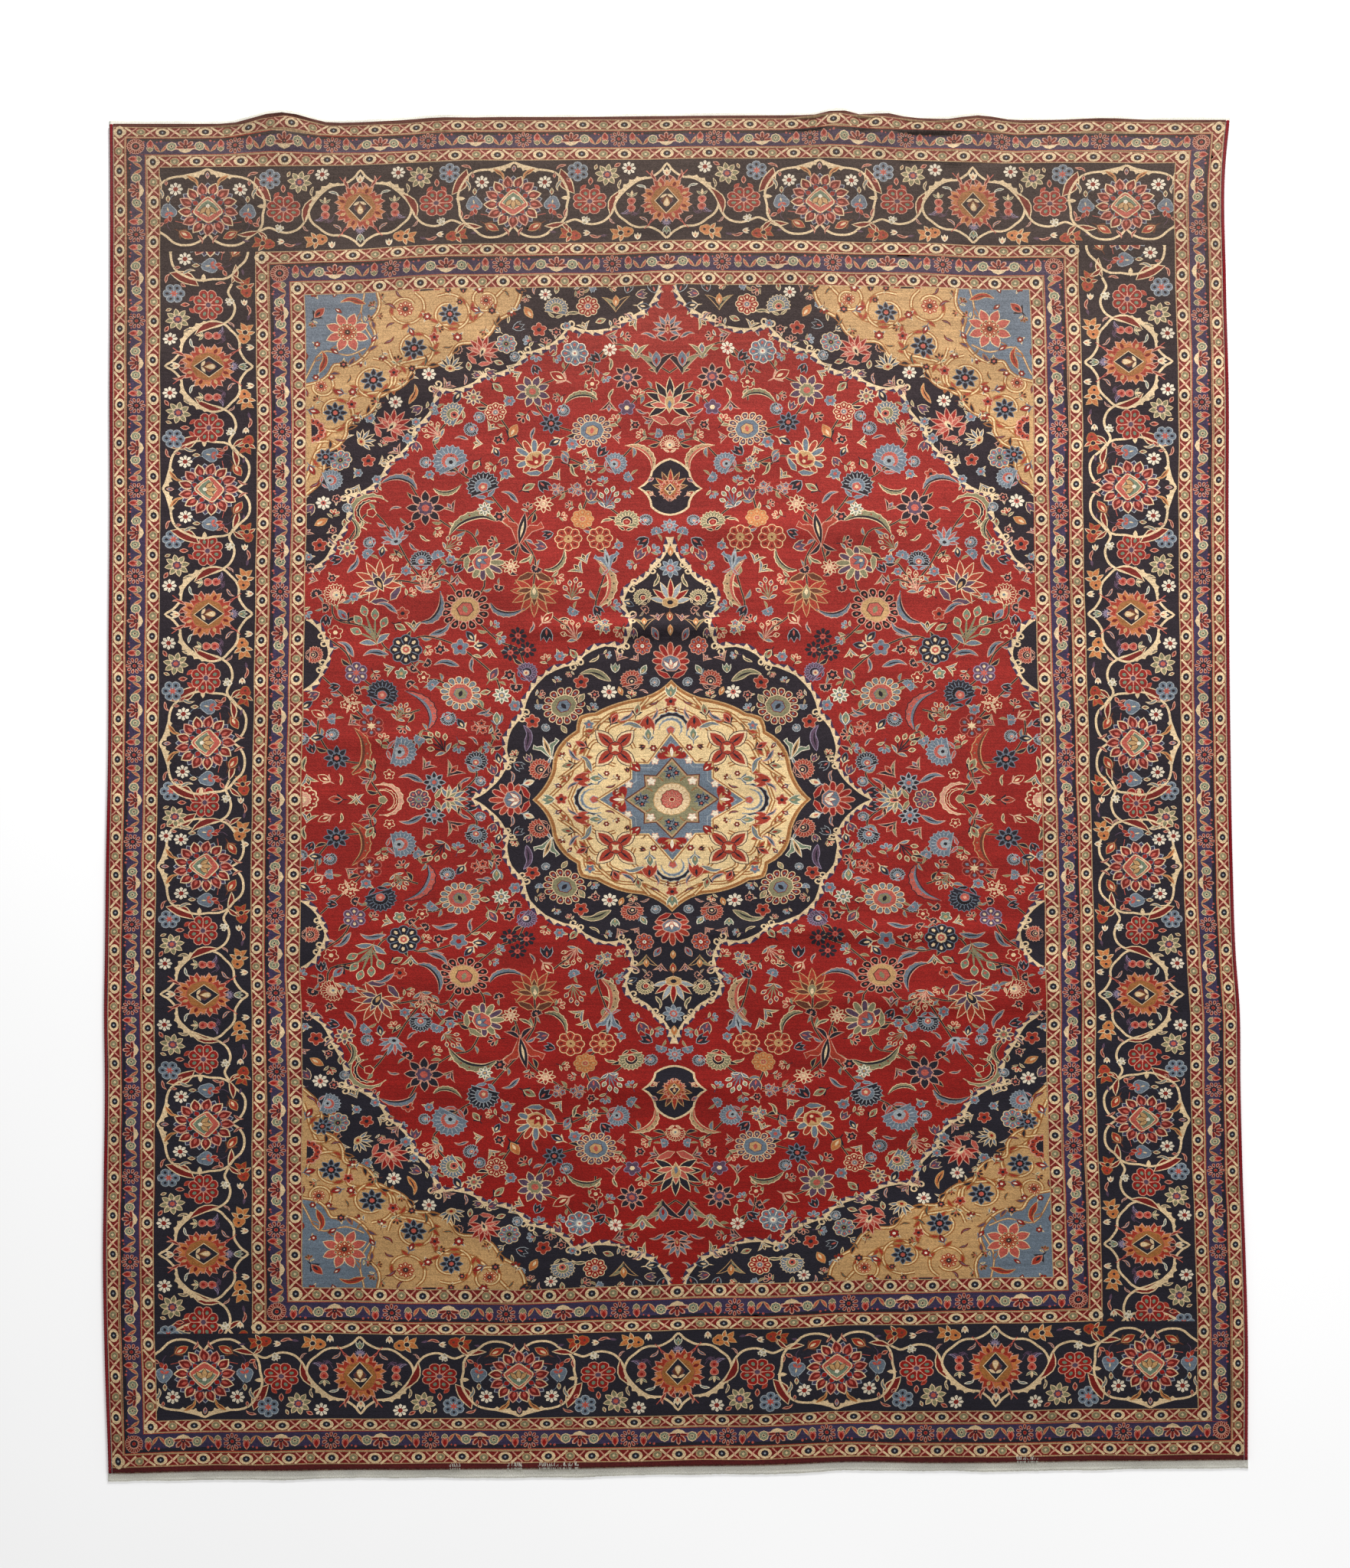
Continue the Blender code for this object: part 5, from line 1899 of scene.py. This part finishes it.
def baked_map(flat, tri, walls, low, high):
    """Where a strip's faces lie in its own square map: its three cells above each other."""
    width = 2 * PILE_HALF_U / MAP_CELLS
    scale = 1 / (max(width, MAP_CELLS * (high - low)) * (1 + 4 * MAP_GAP))
    cell = np.floor((flat[tri].mean(1)[:, 0] + PILE_HALF_U) / width).astype(int)
    cell = np.repeat(np.clip(cell, 0, MAP_CELLS - 1), 3)
    corner = flat[tri.ravel()]
    x = (corner[:, 0] + PILE_HALF_U - cell * width) * scale + MAP_GAP / 2
    y = (corner[:, 1] - low) * scale + cell * ((high - low) * scale + MAP_GAP) + MAP_GAP / 2
    step = 1 / max(len(walls), 1)
    left = np.arange(len(walls)) * step
    right = left + step * WALL_FILL
    x_walls = np.stack([right, left, left, right], axis=1).ravel()
    y_walls = np.repeat([[WALL_ROW_TOP, WALL_ROW_FOOT]], 2, axis=1)
    y_walls = np.tile(y_walls.ravel(), len(walls))
    return np.stack([np.append(x, x_walls), np.append(y, y_walls)], axis=1)


def pile_strip(index, material):
    """One crosswise strip of the pile: its drawn face and its edges down to the foundation."""
    low = -PILE_HALF_V + 2 * PILE_HALF_V * index / STRIPS
    high = -PILE_HALF_V + 2 * PILE_HALF_V * (index + 1) / STRIPS
    flat, tri, yarn = strip_triangles(low, high)
    rim = border_of(tri)
    rim_points = np.unique(rim)
    where = np.zeros(len(flat), int)
    where[rim_points] = np.arange(len(rim_points))
    top = place(flat[:, 0] * MM, flat[:, 1] * MM, PILE_TOP)
    foot = place(*(flat[rim_points].T * MM), FOUNDATION_TOP - UNDERLAP)
    a, b = where[rim[:, 0]] + len(flat), where[rim[:, 1]] + len(flat)
    walls = np.stack([b, a, a + len(rim_points), b + len(rim_points)], axis=1)
    co = np.concatenate([top, top[rim_points], foot])
    obj = make_mesh(f"pile_{index + 1:02d}", co, [tri, walls], material)
    flat_all = np.concatenate([flat, flat[rim_points], flat[rim_points]]) * MM
    add_uv(obj, "OFBake", baked_map(flat, tri, walls, low, high))
    add_uv(obj, "flat", flat_all[np.concatenate([tri.ravel(), walls.ravel()])])
    yarn_of_edge = np.zeros(len(flat), int)
    yarn_of_edge[tri.ravel()] = np.repeat(yarn, 3)
    wall_yarn = np.repeat(yarn_of_edge[rim[:, 0]], 4)
    table = np.array([YARN_COLOURS[name] for name in YARNS])
    colour = table[np.concatenate([np.repeat(yarn, 3), wall_yarn])]
    colour = np.concatenate([colour, np.ones((len(colour), 1))], axis=1)
    layer = obj.data.color_attributes.new("yarn", "FLOAT_COLOR", "CORNER")
    layer.data.foreach_set("color", colour.astype(np.float32).ravel())
    return obj


def grid_faces(rows, columns):
    """Four-sided faces of a grid of points."""
    here = np.arange(rows * columns).reshape(rows, columns)[:-1, :-1].ravel()
    return np.stack([here, here + 1, here + columns + 1, here + columns], axis=1)


def rim_walls(rows, columns):
    """The side faces between a grid of points and a second one that follows it."""
    index = np.arange(rows * columns).reshape(rows, columns)
    rim = np.concatenate([index[0, :], index[1:, -1], index[-1, -2::-1], index[-2:0:-1, 0]])
    ahead = np.roll(rim, -1)
    return np.stack([ahead, rim, rim + index.size, ahead + index.size], axis=1)


FOUNDATION_STEP = 0.03


def foundation(material):
    """The woven ground with its knots' backs: one closed sheet under the whole pile."""
    half_u, half_v = PILE_HALF_U * MM, PILE_HALF_V * MM
    us = np.linspace(-half_u, half_u, round(2 * half_u / FOUNDATION_STEP) + 1)
    vs = np.linspace(-half_v, half_v, round(2 * half_v / FOUNDATION_STEP) + 1)
    v, u = np.meshgrid(vs, us, indexing="ij")
    u, v = u.ravel(), v.ravel()
    co = np.concatenate([place(u, v, FOUNDATION_TOP), place(u, v, 0.0)])
    top = grid_faces(len(vs), len(us))
    groups = [top, top[:, ::-1] + len(u), rim_walls(len(vs), len(us))]
    obj = make_mesh("rug_foundation", co, groups, material)
    flat = np.tile(np.stack([u, v], axis=1), (2, 1))
    add_uv(obj, "flat", flat[np.concatenate([group.ravel() for group in groups])])
    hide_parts("rug_pile")
    return obj


SELVEDGE_STEP = 0.004
SELVEDGE_SIDES = 10
TURN_GROOVE = 0.10
TURN_UNEVEN = 0.03
TURN_SLANT = 0.0015
YARN_RADIUS = 0.002


def selvedge(side, name, material):
    """The overcast side cord: a fine rope of wool turns along one long side."""
    half_v = PILE_HALF_V * MM
    vs = np.linspace(-half_v, half_v, round(2 * half_v / SELVEDGE_STEP) + 1)
    angle = np.arange(SELVEDGE_SIDES) * 2 * math.pi / SELVEDGE_SIDES
    v, a = np.meshgrid(vs, angle, indexing="ij")
    turn = np.arange(len(vs))[:, None]
    plump = 1 - TURN_GROOVE * (turn % 2) + TURN_UNEVEN * np.sin(turn * 1.7)
    half_w, half_h = SELVEDGE_WIDTH / 2 - GAP, SELVEDGE_HEIGHT / 2
    u = side * (HALF_WIDTH - SELVEDGE_WIDTH / 2 + half_w * plump * np.cos(a))
    slant = v + TURN_SLANT * np.sin(a)
    height = half_h + half_h * plump * np.sin(a)
    x, y, rise = lie(u, np.clip(slant, vs[0], vs[-1]))
    co = np.stack([x - ORIGIN[0], y - ORIGIN[1], rise + height], axis=-1).reshape(-1, 3)
    ring = np.arange(len(vs) * SELVEDGE_SIDES).reshape(len(vs), SELVEDGE_SIDES)
    ahead = np.roll(ring, -1, axis=1)
    sides = np.stack([ring[:-1], ahead[:-1], ahead[1:], ring[1:]], axis=-1).reshape(-1, 4)
    caps = [ring[:1, ::-1], ring[-1:]]
    if side < 0:
        sides, caps = sides[:, ::-1], [c[:, ::-1] for c in caps]
    obj = make_mesh(name, co, [sides, *caps], material)
    groups = np.concatenate([sides.ravel(), *(c.ravel() for c in caps)])
    flat = np.stack([a.ravel() * YARN_RADIUS, v.ravel()], axis=1)
    add_uv(obj, "flat", flat[groups])
    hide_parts(name)
    return obj


KILIM_STEP = 0.006
KILIM_RIBS = 5
KILIM_FRAY = 0.0014
RIB_HEIGHT = 0.0004
RIB_FOOT = 0.0005
RIB_UNEVEN = 0.00025


def kilim(end, name, material, rng):
    """The flat-woven cotton band at one end, its cut edge uneven where the weave has worn."""
    us = np.linspace(-HALF_WIDTH, HALF_WIDTH, round(2 * HALF_WIDTH / KILIM_STEP) + 1)
    shares = np.linspace(0, 1, KILIM_RIBS + 1)
    inner, outer = end * (HALF_LENGTH + GAP), kilim_edge(end, us)
    fray = rng.uniform(0.0, KILIM_FRAY, len(us)) * end
    share, u = np.meshgrid(shares, us, indexing="ij")
    v = inner + (outer - fray - inner) * share
    rib = RIB_HEIGHT * np.sin(share * math.pi * 2 * KILIM_RIBS)
    rib = rib + rng.uniform(-RIB_UNEVEN, RIB_UNEVEN, share.shape)
    top = place(u.ravel(), v.ravel(), (KILIM_THICKNESS - RIB_FOOT + rib).ravel())
    bottom = place(u.ravel(), v.ravel(), 0.0)
    faces = grid_faces(*share.shape)
    groups = [faces, faces[:, ::-1] + share.size, rim_walls(*share.shape)]
    if end < 0:
        groups = [g[:, ::-1] for g in groups]
    obj = make_mesh(name, np.concatenate([top, bottom]), groups, material)
    flat = np.tile(np.stack([u.ravel(), v.ravel()], axis=1), (2, 1))
    add_uv(obj, "flat", flat[np.concatenate([g.ravel() for g in groups])])
    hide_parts(name)
    return obj


Tuft = namedtuple("Tuft", "u spread threads")
TUFTS = (
    Tuft(-0.585, 0.012, 14),
    Tuft(-0.430, 0.020, 22),
    Tuft(-0.345, 0.022, 24),
    Tuft(-0.290, 0.026, 26),
    Tuft(0.915, 0.028, 26),
)
THREAD_RADIUS = 0.0006
THREAD_SIDES = 5
THREAD_JOINTS = 5
THREAD_SWEEP = 0.006
THREAD_WAVER = 0.0006
SHORTEST_THREAD, LONGEST_THREAD = 0.010, 0.024
THREAD_ROOT = 0.009
CLIMB_START, CLIMB_LENGTH = 0.002, 0.004
THREAD_LIFT, THREAD_SPREAD = 0.0004, 0.0008


def tufts(material, rng):
    """Loose warp ends at the near end that lie back over the edge of the pile."""
    points, faces = [], []
    for tuft in TUFTS:
        for _ in range(tuft.threads):
            start_u = tuft.u + rng.uniform(-1, 1) * tuft.spread
            sweep = rng.uniform(-THREAD_SWEEP, THREAD_SWEEP)
            reach = rng.uniform(SHORTEST_THREAD, LONGEST_THREAD)
            t = np.linspace(0, 1, THREAD_JOINTS + 1)
            u = start_u + sweep * t**2 + rng.uniform(-THREAD_WAVER, THREAD_WAVER, len(t))
            v = -(HALF_LENGTH + THREAD_ROOT) + reach * t
            over = np.clip((v + HALF_LENGTH + CLIMB_START) / CLIMB_LENGTH, 0, 1)
            height = KILIM_THICKNESS + THREAD_LIFT + (PILE_TOP - KILIM_THICKNESS) * over
            path = place(u, v, height + rng.uniform(0, THREAD_SPREAD))
            first = len(points)
            for k, p in enumerate(path):
                thin = THREAD_RADIUS * (1 - 0.5 * (k == THREAD_JOINTS))
                for s in range(THREAD_SIDES):
                    angle = 2 * math.pi * s / THREAD_SIDES
                    points.append(p + np.array([math.cos(angle), 0, math.sin(angle)]) * thin)
            for k in range(THREAD_JOINTS):
                for s in range(THREAD_SIDES):
                    a, b = first + k * THREAD_SIDES + s, first + k * THREAD_SIDES + (s + 1) % THREAD_SIDES
                    faces.append((b, a, a + THREAD_SIDES, b + THREAD_SIDES))
    return make_mesh("warp_tufts", np.array(points), [np.array(faces)], material)


# --- Materials ----------------------------------------------------------------------------------------
class Nodes:
    """A material's nodes, made and joined in one line each."""

    def __init__(self, name, roughness, sheen=0.0):
        self.material = bpy.data.materials.new(name)
        self.material.use_nodes = True
        self.tree = self.material.node_tree
        self.shader = self.tree.nodes["Principled BSDF"]
        self.shader.inputs["Roughness"].default_value = roughness
        self.shader.inputs["Specular IOR Level"].default_value = 0.18
        self.shader.inputs["Sheen Weight"].default_value = sheen
        self.shader.inputs["Sheen Roughness"].default_value = 0.45

    def add(self, kind, inputs=(), **settings):
        """A new node; each input is joined to a socket or set to a value."""
        node = self.tree.nodes.new("ShaderNode" + kind)
        for key, value in settings.items():
            setattr(node, key, value)
        for key, value in dict(inputs).items():
            if isinstance(value, bpy.types.NodeSocket):
                self.tree.links.new(value, node.inputs[key])
            else:
                node.inputs[key].default_value = value
        return node

    def flat(self, stretch=(1.0, 1.0, 1.0)):
        """Where a point is on the flat carpet, in metres, stretched."""
        uv = self.add("UVMap", uv_map="flat")
        return self.add("Mapping", {"Vector": uv.outputs[0], "Scale": stretch}).outputs[0]

    def noise(self, vector, scale, detail=2.0):
        """A soft noise from 0 to 1."""
        inputs = {"Vector": vector, "Scale": scale, "Detail": detail}
        return self.add("TexNoise", inputs).outputs[0]

    def span(self, value, low, high, start=0.0, end=1.0):
        """A value from start to end carried to low to high."""
        inputs = {"Value": value, "From Min": start, "From Max": end, "To Min": low, "To Max": high}
        return self.add("MapRange", inputs).outputs[0]

    def uneven(self, stretch, scale, low, high, detail=2.0):
        """A value that wanders from low to high over the carpet."""
        return self.span(self.noise(self.flat(stretch), scale, detail), low, high, 0.3, 0.7)

    def times(self, a, b):
        """The product of two values."""
        node = self.add("Math", operation="MULTIPLY")
        self.tree.links.new(a, node.inputs[0])
        self.tree.links.new(b, node.inputs[1])
        return node.outputs[0]

    def finish(self, colour, value, saturation, height, bump, depth):
        """Joins colour, brightness and relief to the shader."""
        inputs = {"Color": colour, "Value": value, "Saturation": saturation}
        tinted = self.add("HueSaturation", inputs)
        self.tree.links.new(tinted.outputs[0], self.shader.inputs["Base Color"])
        relief = self.add("Bump", {"Height": height, "Strength": bump, "Distance": depth})
        self.tree.links.new(relief.outputs[0], self.shader.inputs["Normal"])
        return self.material


def pile_material():
    """Worn wool pile: each knot a little off, crosswise dye bands, and painted light along it: painted
    shade darkening the near end, and painted sheen paling and washing out the far end, with painted shade
    dimming it.
    """
    n = Nodes("wool_pile", 0.95, 0.04)
    yarn = n.add("VertexColor", layer_name="yarn").outputs[0]
    knots = n.add("TexVoronoi", {"Vector": n.flat((1.0, 1.0, 1.0)), "Scale": 420.0})
    each = n.span(n.add("SeparateColor", {"Color": knots.outputs["Color"]}).outputs[0], 0.72, 1.24)
    rows = n.uneven((0.12, 4.0, 1.0), 60.0, 0.84, 1.14)
    dye_bands = n.uneven((0.25, 5.0, 1.0), 3.0, 0.88, 1.12)
    wear = n.uneven((1.0, 1.0, 1.0), 5.0, 0.88, 1.12, 4.0)
    along = n.add("SeparateXYZ", {"Vector": n.flat()}).outputs[1]
    # Painted shade: the pile grows darker towards the near end, standing in for the light falling off
    # there.
    painted_near_shade = n.span(along, 0.74, 1.06, -2.0, 0.6)
    # Painted sheen: pale warm tones are mixed into the yarn towards the far end, faintly from the middle on
    # and strongly near the end, lifting the dark yarns as light glancing off the pile would.
    pale = n.span(along, 0.0, 0.04, -0.8, 1.4)
    painted_far_sheen = n.span(along, 0.0, 0.24, 1.15, 1.75)
    # Painted shade: the far end is darkened to hold back the stronger light from the key lamp there.
    painted_far_shade = n.span(along, 1.0, 0.84, 0.9, 2.0)
    # The yarn colour with the painted sheen mixed in.
    yarn_with_painted_sheen = yarn
    for share, code in ((pale, "B88A6A"), (painted_far_sheen, "74624E")):
        inputs = {"Fac": share, "Color1": yarn_with_painted_sheen, "Color2": (*linear(code), 1)}
        yarn_with_painted_sheen = n.add("MixRGB", inputs).outputs[0]
    value = n.times(n.times(each, n.times(rows, dye_bands)), n.times(n.times(wear, painted_near_shade), painted_far_shade))
    # Painted sheen as well: the colours wash out towards the far end and grow richer towards the near end.
    saturation = n.span(along, 1.04, 0.96, -2.0, 2.0)
    return n.finish(yarn_with_painted_sheen, value, saturation, knots.outputs["Distance"], 0.5, 0.0012)


def plain_material(name, colour_a, colour_b, scale, stretch, roughness):
    """A plain yarn: two close shades in a weave, with the weave's relief."""
    n = Nodes(name, roughness)
    speck = n.noise(n.flat(stretch), scale, 3.0)
    ramp = n.add("ValToRGB", {"Fac": speck})
    for stop, position, code in zip(ramp.color_ramp.elements, (0.35, 0.65), (colour_a, colour_b)):
        stop.position = position
        stop.color = (*linear(code), 1)
    value = n.uneven((1.0, 1.0, 1.0), 12.0, 0.88, 1.12)
    saturation = n.uneven((1.0, 1.0, 1.0), 3.0, 0.92, 1.08)
    return n.finish(ramp.outputs[0], value, saturation, speck, 0.5, 0.0008)


# --- Floor, lights and camera ---------------------------------------------------------------------------
AIM = Vector((0.0112 - ORIGIN[0], 0.0535 - ORIGIN[1], 0.0))
ELEVATION = 61.1
DISTANCE = 100.0
LENS = 863.7
SENSOR = 36.0
FLOOR_SIZE = 60.0
FLOOR_DEPTH = 0.0005
FLOOR_WHITE = (0.93, 0.93, 0.93, 1)
FLOOR_GLOW = 0.20
WORLD_LIGHT = 0.38
Light = namedtuple("Light", "name where size power")
LIGHTS = (
    Light("key", (1.2, 7.2, 3.9), 2.0, 700),
    Light("fill", (3.0, -3.0, 6.5), 6.0, 100),
)


def stage():
    """A plain pale floor, two soft lights and the camera."""
    bpy.ops.mesh.primitive_plane_add(size=FLOOR_SIZE, location=(0, 0, -FLOOR_DEPTH))
    floor = bpy.context.object
    floor.name = "floor"
    n = Nodes("floor", 0.9)
    n.shader.inputs["Emission Color"].default_value = (1, 1, 1, 1)
    n.shader.inputs["Emission Strength"].default_value = FLOOR_GLOW
    shade = n.span(n.noise(n.add("TexCoord").outputs["Object"], 0.8), 0.985, 1.015, 0.3, 0.7)
    tone = n.add("HueSaturation", {"Color": FLOOR_WHITE, "Value": shade})
    n.tree.links.new(tone.outputs[0], n.shader.inputs["Base Color"])
    floor.data.materials.append(n.material)
    for row in LIGHTS:
        light = bpy.data.lights.new(row.name, "AREA")
        light.size, light.energy = row.size, row.power
        lamp = bpy.data.objects.new(row.name, light)
        lamp.location = row.where
        lamp.rotation_euler = (-Vector(row.where)).to_track_quat("-Z", "Y").to_euler()
        bpy.context.scene.collection.objects.link(lamp)
    world = bpy.data.worlds.new("studio")
    world.use_nodes = True
    world.node_tree.nodes["Background"].inputs[0].default_value = (1, 1, 1, 1)
    world.node_tree.nodes["Background"].inputs[1].default_value = WORLD_LIGHT
    bpy.context.scene.world = world
    bpy.context.scene.view_settings.view_transform = "Standard"
    data = bpy.data.cameras.new("camera")
    data.lens, data.sensor_width = LENS, SENSOR
    data.clip_end = 2 * DISTANCE
    camera = bpy.data.objects.new("camera", data)
    angle = math.radians(ELEVATION)
    camera.location = AIM + Vector((0, -math.cos(angle), math.sin(angle))) * DISTANCE
    camera.rotation_euler = (math.radians(90 - ELEVATION), 0, 0)
    bpy.context.scene.collection.objects.link(camera)
    bpy.context.scene.camera = camera


FRAY_SEED = 11


def build_carpet():
    """All the carpet's pieces."""
    draw_carpet()
    wool = pile_material()
    strips = [pile_strip(index, wool) for index in range(STRIPS)]
    back = plain_material("knotted_back", "6B2A2A", "A58A70", 260.0, (1.0, 1.6, 1.0), 0.95)
    base = foundation(back)
    cord = plain_material("overcast_wool", "641519", "8A2228", 320.0, (1.0, 1.0, 1.0), 0.9)
    cotton = plain_material("cotton_web", "D2CFBF", "F2F0E6", 330.0, (1.6, 0.7, 1.0), 0.9)
    edges = [selvedge(-1, "selvedge_left", cord), selvedge(1, "selvedge_right", cord)]
    rng = np.random.default_rng(FRAY_SEED)
    ends = [kilim(1, "kilim_end_top", cotton, rng), kilim(-1, "kilim_end_bottom", cotton, rng)]
    loose = tufts(cotton, rng)


build_carpet()
stage()
bpy.context.view_layer.update()
